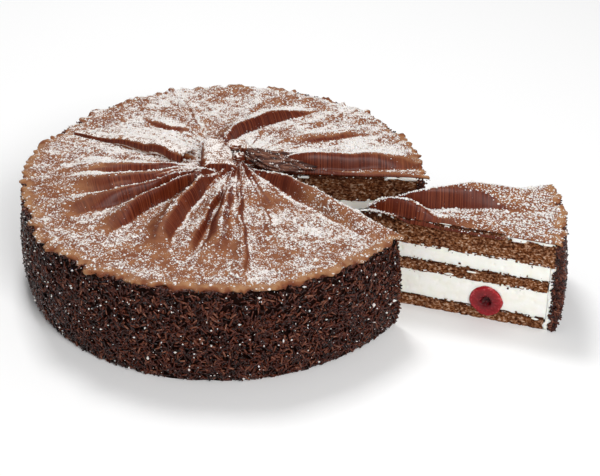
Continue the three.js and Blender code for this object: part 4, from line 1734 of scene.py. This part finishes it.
@dataclass
class SprinkleCoats:
    """The wall's coat: a bed over the cream, dark with painted shade between the rods, and loose
    chocolate rods on it.

    Attributes:
        frame: The two sectors.
        pantry: The materials.
    """

    frame: CakeFrame
    pantry: Pantry

    INNER = 139.3
    TOP = 69.7
    FOOT = 2.6
    BELLY = 7.0
    LIP = 2.4
    BED_SHARE = 0.45
    WIDTH = 1.15
    LENGTHS = (3.0, 6.2)
    BROKEN = 0.75
    TILT = 0.2
    MOST_TILT = 0.5
    BEND = 0.06
    SUNK = 2.6
    RIM = (136.5, 141.0)
    COUNTS = (8600, 700, 600)

    def thickness(self, t: Array) -> Array:
        """Thickness of the coat at a share of its height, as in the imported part.

        Args:
            t: Share of the height, from 0 to 1.

        Returns:
            Thickness in mm.
        """
        edge = self.FOOT + (self.LIP - self.FOOT) * t
        return edge + (self.BELLY - edge) * np.sin(np.pi * t**0.75)

    def bed(self, name: str, sector: Sector, steps: tuple[int, int], node: str) -> None:
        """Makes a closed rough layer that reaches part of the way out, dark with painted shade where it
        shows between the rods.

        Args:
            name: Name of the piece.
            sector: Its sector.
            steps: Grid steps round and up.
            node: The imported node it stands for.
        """
        rough = LatticeNoise(71)

        def place(block: Array) -> Array:
            """Points of the bed for the unit block's points.

            Args:
                block: Points over 0..1 in x, y and z.

            Returns:
                Points in mm.
            """
            turn, out, up = block.T
            angle = sector.angle(turn)
            flat = sector.point(angle, np.full(len(turn), 140.0), up * self.TOP)
            wall = self.INNER + out * (self.thickness(up) * self.BED_SHARE + 0.7 * rough.at(flat, 4.0))
            return sector.point(angle, sector.reach(angle, wall), up * self.TOP)

        made = to_object(name, unit_block((steps[0], 1, steps[1])), place)
        close_mesh(made)
        finish_piece(made, self.pantry.core, Slot.SPRINKLES, node)

    def wall_places(self, draw: np.random.Generator, count: int) -> tuple[Array, Array, Array]:
        """Random places on the wall.

        Args:
            draw: Source of random numbers.
            count: Number of places.

        Returns:
            Centres in mm, directions out of the wall, and free height in mm.
        """
        shares = self.frame.shared_out(draw, count, self.frame.wall_share())
        height = 0.7 + draw.random(count) * (self.TOP - 0.9)
        sunk = draw.random(count) ** 1.5 * self.SUNK
        tucked = np.clip((height - self.TOP + 6.0) / 6.0, 0.0, 1.0) * 0.9
        radius = self.INNER + self.thickness(height / self.TOP) - self.WIDTH - sunk - tucked
        centre, away = np.zeros((count, 3)), np.zeros((count, 3))
        for sector, mine in zip(self.frame.sectors, shares):
            angle = sector.angle(draw.random(mine.sum()))
            centre[mine] = sector.point(angle, sector.reach(angle, radius[mine]), height[mine])
            away[mine] = self.from_centre(sector, centre[mine])
        return centre, away, np.minimum(height - 0.5, self.TOP + 0.8 - height)

    def rim_places(self, draw: np.random.Generator, count: int) -> tuple[Array, Array, Array]:
        """Random places on the coat's top, under the sheet's ragged rim.

        Args:
            draw: Source of random numbers.
            count: Number of places.

        Returns:
            Centres in mm, directions upwards, and free height in mm.
        """
        shares = self.frame.shared_out(draw, count, self.frame.wall_share())
        centre = np.zeros((count, 3))
        for sector, mine in zip(self.frame.sectors, shares):
            angle = sector.angle(draw.random(mine.sum()))
            radius = draw.uniform(*self.RIM, mine.sum())
            centre[mine] = sector.point(angle, sector.reach(angle, radius), self.TOP + 0.5)
        return centre, stack(0.0, 0.0, np.ones(count)), np.full(count, 9.0)

    def corner_places(self, draw: np.random.Generator, count: int) -> tuple[Array, Array, Array]:
        """Random places where the knife went through the coat, on all four cuts.

        Args:
            draw: Source of random numbers.
            count: Number of places.

        Returns:
            Centres in mm, directions out of the cuts, and free height in mm.
        """
        which = draw.integers(0, 4, count)
        height = 0.8 + draw.random(count) * (self.TOP - 1.2)
        outer = self.thickness(height / self.TOP)
        radius = self.INNER - 1.6 + draw.random(count) ** 0.8 * (outer + 1.0)

        def reach(sector: Sector, angle: Array, mine: Array) -> Array:
            """Distances from the tip of the chosen places."""
            return sector.reach(angle, radius[mine])

        centre, away = self.frame.on_cuts(draw, which, reach, height, (0.0, 0.7))
        return centre, away, np.minimum(height - 0.5, self.TOP + 0.4 - height)

    @staticmethod
    def from_centre(sector: Sector, points: Array) -> Array:
        """Level directions from the round's centre.

        Args:
            sector: The sector whose centre it is.
            points: Where to, in mm.

        Returns:
            Unit vectors.
        """
        flat = (points - np.array([*sector.centre, 0.0])) * [1.0, 1.0, 0.0]
        return flat / np.linalg.norm(flat, axis=1, keepdims=True)

    def rods(self, name: str, material: bpy.types.Material, seed: int) -> None:
        """Joined rods that lie on the coat in every direction.

        Args:
            name: Name of the piece.
            material: Its material.
            seed: Seed of its random draws.
        """
        draw = np.random.default_rng(seed)
        places = (self.wall_places, self.rim_places, self.corner_places)
        found = [make(draw, number) for make, number in zip(places, self.COUNTS)]
        centre, away, room = (np.concatenate(column) for column in zip(*found))
        count = len(centre)
        length = draw.uniform(*self.LENGTHS, count)
        length[-self.COUNTS[2]:] *= self.BROKEN
        width = self.WIDTH * draw.uniform(0.8, 1.2, count)
        lie = draw.uniform(-np.pi / 2.0, np.pi / 2.0, count)
        most = np.arcsin(np.clip(room / (length / 2.0), 0.0, 1.0))
        lie = np.clip(lie, -most, most)
        tilt = np.clip(draw.normal(0.0, self.TILT, count), -self.MOST_TILT, self.MOST_TILT)
        bend = draw.normal(0.0, self.BEND, count)
        tone = draw.random(count)
        flat = np.abs(away[:, 2:]) > 0.5
        first_way = np.where(flat, [1.0, 0.0, 0.0], np.cross([0.0, 0.0, 1.0], away))
        second_way = np.cross(away, first_way)
        lie = np.where(flat[:, 0], draw.uniform(0.0, np.pi, count), lie)
        axis = np.cos(lie)[:, None] * first_way + np.sin(lie)[:, None] * second_way
        tilt = np.where(flat[:, 0], tilt * 0.3, tilt)
        axis = np.cos(tilt)[:, None] * axis + np.sin(tilt)[:, None] * away
        side = np.cross(axis, away)
        side /= np.linalg.norm(side, axis=1, keepdims=True)
        face = np.cross(side, axis)

        def moved(base: Array) -> Array:
            """Points of every rod for the small rod's points.

            Args:
                base: Points of a sphere of radius 1.

            Returns:
                Points in mm as (rods, points, 3).
            """
            long = np.sign(base[:, 2]) * np.where(np.abs(base[:, 2]) > 0.9, 0.5, 0.45)
            thin = base[:, :2] / np.abs(base[:, :2]).max() * 0.5
            along = long[None] * length[:, None]
            sag = bend[:, None] * length[:, None] * (4.0 * long[None] ** 2)
            first = thin[None, :, 0] * width[:, None] + sag
            second = thin[None, :, 1] * width[:, None]
            return (centre[:, None] + along[..., None] * axis[:, None]
                    + first[..., None] * side[:, None] + second[..., None] * face[:, None])

        seed_shape = plain_ball(5, 3)
        points = len(seed_shape.verts)
        made = scattered(name, seed_shape, moved)
        set_attribute(made.data, "tone", np.repeat(tone, points))
        finish_piece(made, material, Slot.SPRINKLES, "cake_sprinkle_coat", "slice_sprinkle_coat")

    def build(self) -> None:
        """Makes both beds and the three kinds of rod."""
        self.bed("cake_sprinkle_bed", self.frame.cake, (180, 24), "cake_sprinkle_coat")
        self.bed("slice_sprinkle_bed", self.frame.piece, (24, 24), "slice_sprinkle_coat")
        for seed, (name, material) in enumerate(self.pantry.sprinkles.items()):
            self.rods(f"sprinkles_{name}", material, 100 + seed)


# ------------------------------------------------------------------ loose bits


@dataclass(frozen=True)
class Smear:
    """A bit of cream on a sector's first cut.

    Attributes:
        on_slice: Whether it lies on the slice.
        distance: Distance from the tip in mm.
        height: Height in mm.
        wide: Half its width in mm.
        tall: Half its height in mm.
    """

    on_slice: bool
    distance: float
    height: float
    wide: float
    tall: float


@dataclass
class LooseBits:
    """Sugar on the chocolate, and cocoa crumbs and smeared cream on the cuts.

    Attributes:
        frame: The two sectors.
        pantry: The materials.
    """

    frame: CakeFrame
    pantry: Pantry

    CLUMPS = 24500
    FLECKS_AND_GLINTS = 1100
    CRUMBS = 900
    FLECKS_ON_CAKE = 0.91
    CRUMBS_AT = {9.6: 0.14, 30.0: 0.12, 39.8: 0.26, 50.6: 0.12, 67.6: 0.26, 69.2: 0.10}
    SMEARS = (
        Smear(True, 111.5, 68.4, 7.0, 2.3),
        Smear(True, 131.0, 68.9, 7.0, 1.9),
        Smear(True, 136.0, 3.4, 3.0, 3.2),
        Smear(True, 121.0, 69.6, 5.0, 1.1),
        Smear(True, 137.0, 22.0, 1.8, 3.5),
        Smear(True, 82.0, 36.5, 3.4, 1.0),
        Smear(True, 128.0, 7.6, 2.6, 0.9),
        Smear(True, 66.0, 31.6, 4.2, 0.9),
        Smear(False, 121.0, 69.6, 9.0, 1.5),
        Smear(False, 108.0, 70.0, 6.0, 0.9),
    )

    def sugar_on_sheet(self, sheets: list[bpy.types.Object], count: int) -> None:
        """Small clumps of sugar where the dust lies thickest.

        Args:
            sheets: The pieces they lie on.
            count: Number of clumps.
        """
        draw = np.random.default_rng(7)
        places, normals, shares = [], [], []
        for made in sheets:
            mesh = made.data
            dust = np.zeros(len(mesh.vertices), dtype=np.float32)
            mesh.attributes["dust"].data.foreach_get("value", dust)
            places.append(coordinates(mesh) / MM)
            normals.append(vertex_normals(mesh))
            spacing = np.hypot(*(places[-1][:, :2] - np.array(self.frame.cake.tip)).T) / 100.0
            shares.append(np.clip(dust, 0.0, 1.0) ** 2 * spacing)
        place, normal, share = np.concatenate(places), np.concatenate(normals), np.concatenate(shares)
        chosen = draw.choice(len(place), count, p=share / share.sum())
        size = draw.gamma(3.0, 0.13, count) + 0.18
        jitter = draw.normal(0.0, 0.7, (count, 3)) * [1.0, 1.0, 0.0]
        slope = normal[chosen]
        drop = -(jitter[:, 0] * slope[:, 0] + jitter[:, 1] * slope[:, 1]) / np.maximum(slope[:, 2], 0.3)
        centre = place[chosen] + jitter + stack(0.0, 0.0, drop) + slope * (size * 0.15)[:, None]
        spin = draw.uniform(0.0, 2.0 * np.pi, count)

        def moved(base: Array) -> Array:
            """Points of every clump for the small clump's points.

            Args:
                base: Points of a sphere of radius 1.

            Returns:
                Points in mm as (clumps, points, 3).
            """
            turned = stack(
                base[None, :, 0] * np.cos(spin)[:, None] - base[None, :, 1] * np.sin(spin)[:, None],
                base[None, :, 0] * np.sin(spin)[:, None] + base[None, :, 1] * np.cos(spin)[:, None],
                np.broadcast_to(base[None, :, 2] * 0.7, (count, len(base))),
            )
            uneven = draw.uniform(0.6, 1.3, (count, len(base), 1))
            return centre[:, None] + turned * uneven * size[:, None, None]

        finish_piece(scattered("sugar_clumps", plain_ball(4, 2), moved), self.pantry.sugar, Slot.SUGAR)

    def sugar_and_glints_on_wall(self, count: int) -> None:
        """Flecks of sugar between the sprinkles, partly painted glints: white specks, some drawn out,
        that stand for highlights on the glossy rods.

        Args:
            count: Number of flecks.
        """
        draw = np.random.default_rng(8)
        coats = SprinkleCoats(self.frame, self.pantry)
        shares = self.frame.shared_out(draw, count, self.FLECKS_ON_CAKE)
        height = draw.random(count) ** 0.85 * coats.TOP
        radius = coats.INNER + coats.thickness(height / coats.TOP) - draw.random(count) * 1.2
        centre = np.zeros((count, 3))
        for sector, mine in zip(self.frame.sectors, shares):
            angle = sector.angle(draw.random(mine.sum()))
            centre[mine] = sector.point(angle, sector.reach(angle, radius[mine]), height[mine])
        size = draw.gamma(2.0, 0.12, count) + 0.12
        # Random stretch lets flecks pass for painted glints along the rods.
        drawn_out = draw.uniform(0.5, 2.2, (count, 1, 3))

        def moved(base: Array) -> Array:
            """Points of every fleck for the small fleck's points."""
            uneven = draw.uniform(0.5, 1.5, (count, len(base), 1))
            return centre[:, None] + base[None] * uneven * drawn_out * size[:, None, None]

        finish_piece(scattered("sugar_and_glint_flecks", plain_ball(4, 2), moved), self.pantry.sugar, Slot.SUGAR)

    def crumbs(self, count: int) -> None:
        """Cocoa crumbs along the sponges' edges on all four cuts.

        Args:
            count: Number of crumbs.
        """
        draw = np.random.default_rng(9)
        level = draw.choice(len(self.CRUMBS_AT), count, p=list(self.CRUMBS_AT.values()))
        distance = draw.uniform(2.0, 136.0, count)
        height = np.array(list(self.CRUMBS_AT))[level] + draw.normal(0.0, 0.8, count)
        which = draw.integers(0, 4, count)

        def reach(_sector: Sector, _angle: Array, mine: Array) -> Array:
            """Distances from the tip of the chosen crumbs."""
            return distance[mine]

        centre, _ = self.frame.on_cuts(draw, which, reach, height, (0.2, 0.9))
        size = draw.gamma(2.0, 0.16, count) + 0.18

        def moved(base: Array) -> Array:
            """Points of every crumb for the small crumb's points."""
            uneven = draw.uniform(0.55, 1.4, (count, len(base), 1))
            return centre[:, None] + base[None] * uneven * size[:, None, None]

        finish_piece(scattered("cocoa_crumbs", fine_ball(1), moved), self.pantry.crumb, Slot.SPONGE)

    def cream_smear(self, number: int, smear: Smear) -> None:
        """Makes one bit of cream that the knife pressed out.

        Args:
            number: Its number from 0.
            smear: Where it lies and how large it is.
        """
        rough = LatticeNoise(80 + number)
        face = self.frame.piece if smear.on_slice else self.frame.cake
        centre = face.spot(face.start, smear.distance, smear.height)
        out = face.outward(np.array([False]))[0]
        along = level_way(face.start)

        def place(ball: Array) -> Array:
            """Points of the smear for the ball's points."""
            uneven = (1.0 + 0.35 * rough.layered(ball, 0.8, 2))[:, None]
            shift = ball * uneven * [smear.wide, 0.9, smear.tall]
            return centre + shift[:, :1] * along + shift[:, 1:2] * out + shift[:, 2:] * np.array(UPWARDS)

        made = to_object(f"cream_smear_{number + 1}", fine_ball(4), place)
        finish_piece(made, self.pantry.cream, Slot.CREAM)

    def build(self, sheets: list[bpy.types.Object]) -> None:
        """Makes all of them, with the sugar on these sheets.

        Args:
            sheets: The pieces that carry sugar clumps.
        """
        self.sugar_on_sheet(sheets, self.CLUMPS)
        self.sugar_and_glints_on_wall(self.FLECKS_AND_GLINTS)
        self.crumbs(self.CRUMBS)
        for number, smear in enumerate(self.SMEARS):
            self.cream_smear(number, smear)


# ------------------------------------------------------------------ studio


@dataclass(frozen=True)
class Studio:
    """A pale floor, soft lights and the camera.

    Attributes:
        centre: Centre of the round in mm, from which the camera stands.
    """

    centre: tuple[float, float]

    CAMERA = (98.3, -890.5, 597.1)
    PITCH_DOWN = 32.82
    HEADING = 2.86
    LENS = 87.87
    SENSOR = 36.0
    CLIP = (0.05, 50.0)
    WORLD = "#ffffff"
    WORLD_STRENGTH = 0.34
    FLOOR = "#fdfdfd"
    FLOOR_WIDTH = 9000.0
    FLOOR_HEIGHT = -0.15
    AIM = (0.0, 0.0, 0.04)

    def floor(self) -> None:
        """One large pale sheet that the cake stands on."""

        def place(grid: Array) -> Array:
            """Points of the floor for the unit grid's points."""
            return stack(*((grid[:, :2] - 0.5) * self.FLOOR_WIDTH).T, self.FLOOR_HEIGHT)

        made = to_object("floor", unit_panel(2, 2), place)
        finish = Finish("pale_floor", 0.9)
        material, tree, _ = finish.start()
        finish.close(tree, {"Base Color": colour(self.FLOOR)})
        made.data.materials.append(material)

    def light(self, name: str, place: tuple[float, float, float], size: float, watts: float) -> None:
        """Hangs a square soft light that points at the cake.

        Args:
            name: Name of the light.
            place: Where it hangs, in m.
            size: Its width in m.
            watts: Its power.
        """
        lamp = bpy.data.lights.new(name, "AREA")
        lamp.size = size
        lamp.energy = watts
        made = bpy.data.objects.new(name, lamp)
        made.location = place
        aim = Vector(self.AIM) - Vector(place)
        made.rotation_euler = aim.to_track_quat("-Z", "Y").to_euler()
        bpy.context.scene.collection.objects.link(made)

    def camera(self) -> None:
        """Stands the camera and makes it the scene's."""
        lens = bpy.data.cameras.new("camera")
        lens.lens = self.LENS
        lens.sensor_width = self.SENSOR
        lens.clip_start, lens.clip_end = self.CLIP
        made = bpy.data.objects.new("camera", lens)
        made.location = Vector((*self.centre, 0.0)) * MM + Vector(self.CAMERA) * MM
        made.rotation_euler = (math.radians(90.0 - self.PITCH_DOWN), 0.0, math.radians(self.HEADING))
        bpy.context.scene.collection.objects.link(made)
        bpy.context.scene.camera = made

    def build(self) -> None:
        """Sets the whole studio."""
        scene = bpy.context.scene
        world = bpy.data.worlds.new("soft_white")
        world.use_nodes = True
        back = world.node_tree.nodes["Background"]
        back.inputs["Color"].default_value = colour(self.WORLD)
        back.inputs["Strength"].default_value = self.WORLD_STRENGTH
        scene.world = world
        scene.view_settings.view_transform = "Standard"
        scene.view_settings.look = "None"
        self.floor()
        self.light("key_above_behind", (-0.25, 0.55, 1.38), 0.40, 10.0)
        self.light("fill_front_right", (0.6, -1.2, 1.1), 0.7, 17.0)
        self.camera()


# ------------------------------------------------------------------ the cake


class Cake:
    """Builds every piece in order."""

    TOP_SPREAD = 2.2
    TOP_LIFT = 2.9
    # Painted shade over the whole top sponge of the cake, none on the slice's.
    PAINTED_SHADE = {"slice": 0.0, "cake": 0.42}

    def __init__(self, frame: CakeFrame, pantry: Pantry) -> None:
        """Keeps the frame and the materials."""
        self.frame = frame
        self.pantry = pantry

    def layers(self) -> None:
        """Makes the five layers of the cake and of the slice."""
        rows = (
            ("base_sponge", Crumb.SPONGE, 26, 1.0),
            ("lower_cream", Crumb.CREAM, 24, 0.0),
            ("middle_sponge", Crumb.SPONGE, 26, 1.4),
            ("upper_cream", Crumb.CREAM, 16, 0.0),
            ("top_sponge", Crumb.SPONGE, 42, 1.6),
        )
        parts = (("slice", self.frame.piece, 6, 320, 160), ("cake", self.frame.cake, 22, 240, 100))
        for prefix, sector, around, fine, soft in parts:
            for number, (plain, kind, up, crust) in enumerate(rows):
                steps = (around, fine if kind is Crumb.SPONGE else soft, up)
                layer = CutLayer(f"{prefix}_{plain}", sector, kind, steps, 20 + number, crust)
                if plain == "top_sponge":
                    layer.spread, layer.lift = self.TOP_SPREAD, self.TOP_LIFT
                    layer.painted_shade = self.PAINTED_SHADE[prefix]
                layer.build(self.pantry)

    def coats(self) -> None:
        """Dresses the two packed cream coats, whose shape stays."""
        for prefix in ("cake", "slice"):
            node = NODES[f"{prefix}_cream_coat"]
            for place in node.material_slots:
                place.material = self.pantry.cream

    def build(self) -> None:
        """Makes the whole cake."""
        self.layers()
        self.coats()
        CutCherry("slice_cut_cherry", "slice_cherry", self.frame.piece, False).build(self.pantry)
        CutCherry("cake_cut_cherry", "cake_cherry", self.frame.cake, True).build(self.pantry)
        cake_sheet = ChocolateSheet(
            sector=self.frame.cake,
            pleats=CAKE_PLEATS,
            node="cake_chocolate_sheet",
            steps=(600, 80),
            inner=0.0,
            gather=13.0,
            overhangs=(0.8, 4.0),
            seed=11,
            dents=CAKE_DENTS,
        )
        slice_sheet = SliceSheet(
            sector=self.frame.piece,
            pleats=SLICE_PLEATS,
            node="slice_chocolate_sheet",
            steps=(110, 190),
            inner=8.0,
            gather=0.0,
            overhangs=(1.7, 0.6),
            seed=17,
        )
        sheets = [
            cake_sheet.build("cake_sheet", self.pantry),
            slice_sheet.build("slice_sheet", self.pantry),
        ]
        GatheredMiddle(cake_sheet, self.pantry).build()
        SprinkleCoats(self.frame, self.pantry).build()
        LooseBits(self.frame, self.pantry).build(sheets)


NODES: dict[str, bpy.types.Object] = {}


def main() -> None:
    """Builds the cake and the studio."""
    logging.basicConfig(level=logging.INFO, format="%(message)s")
    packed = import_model()
    NODES.update(packed["nodes"])
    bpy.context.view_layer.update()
    frame = CakeFrame.read()
    Cake(frame, Pantry()).build()
    Studio(frame.cake.centre).build()


if __name__ == "__main__":
    main()
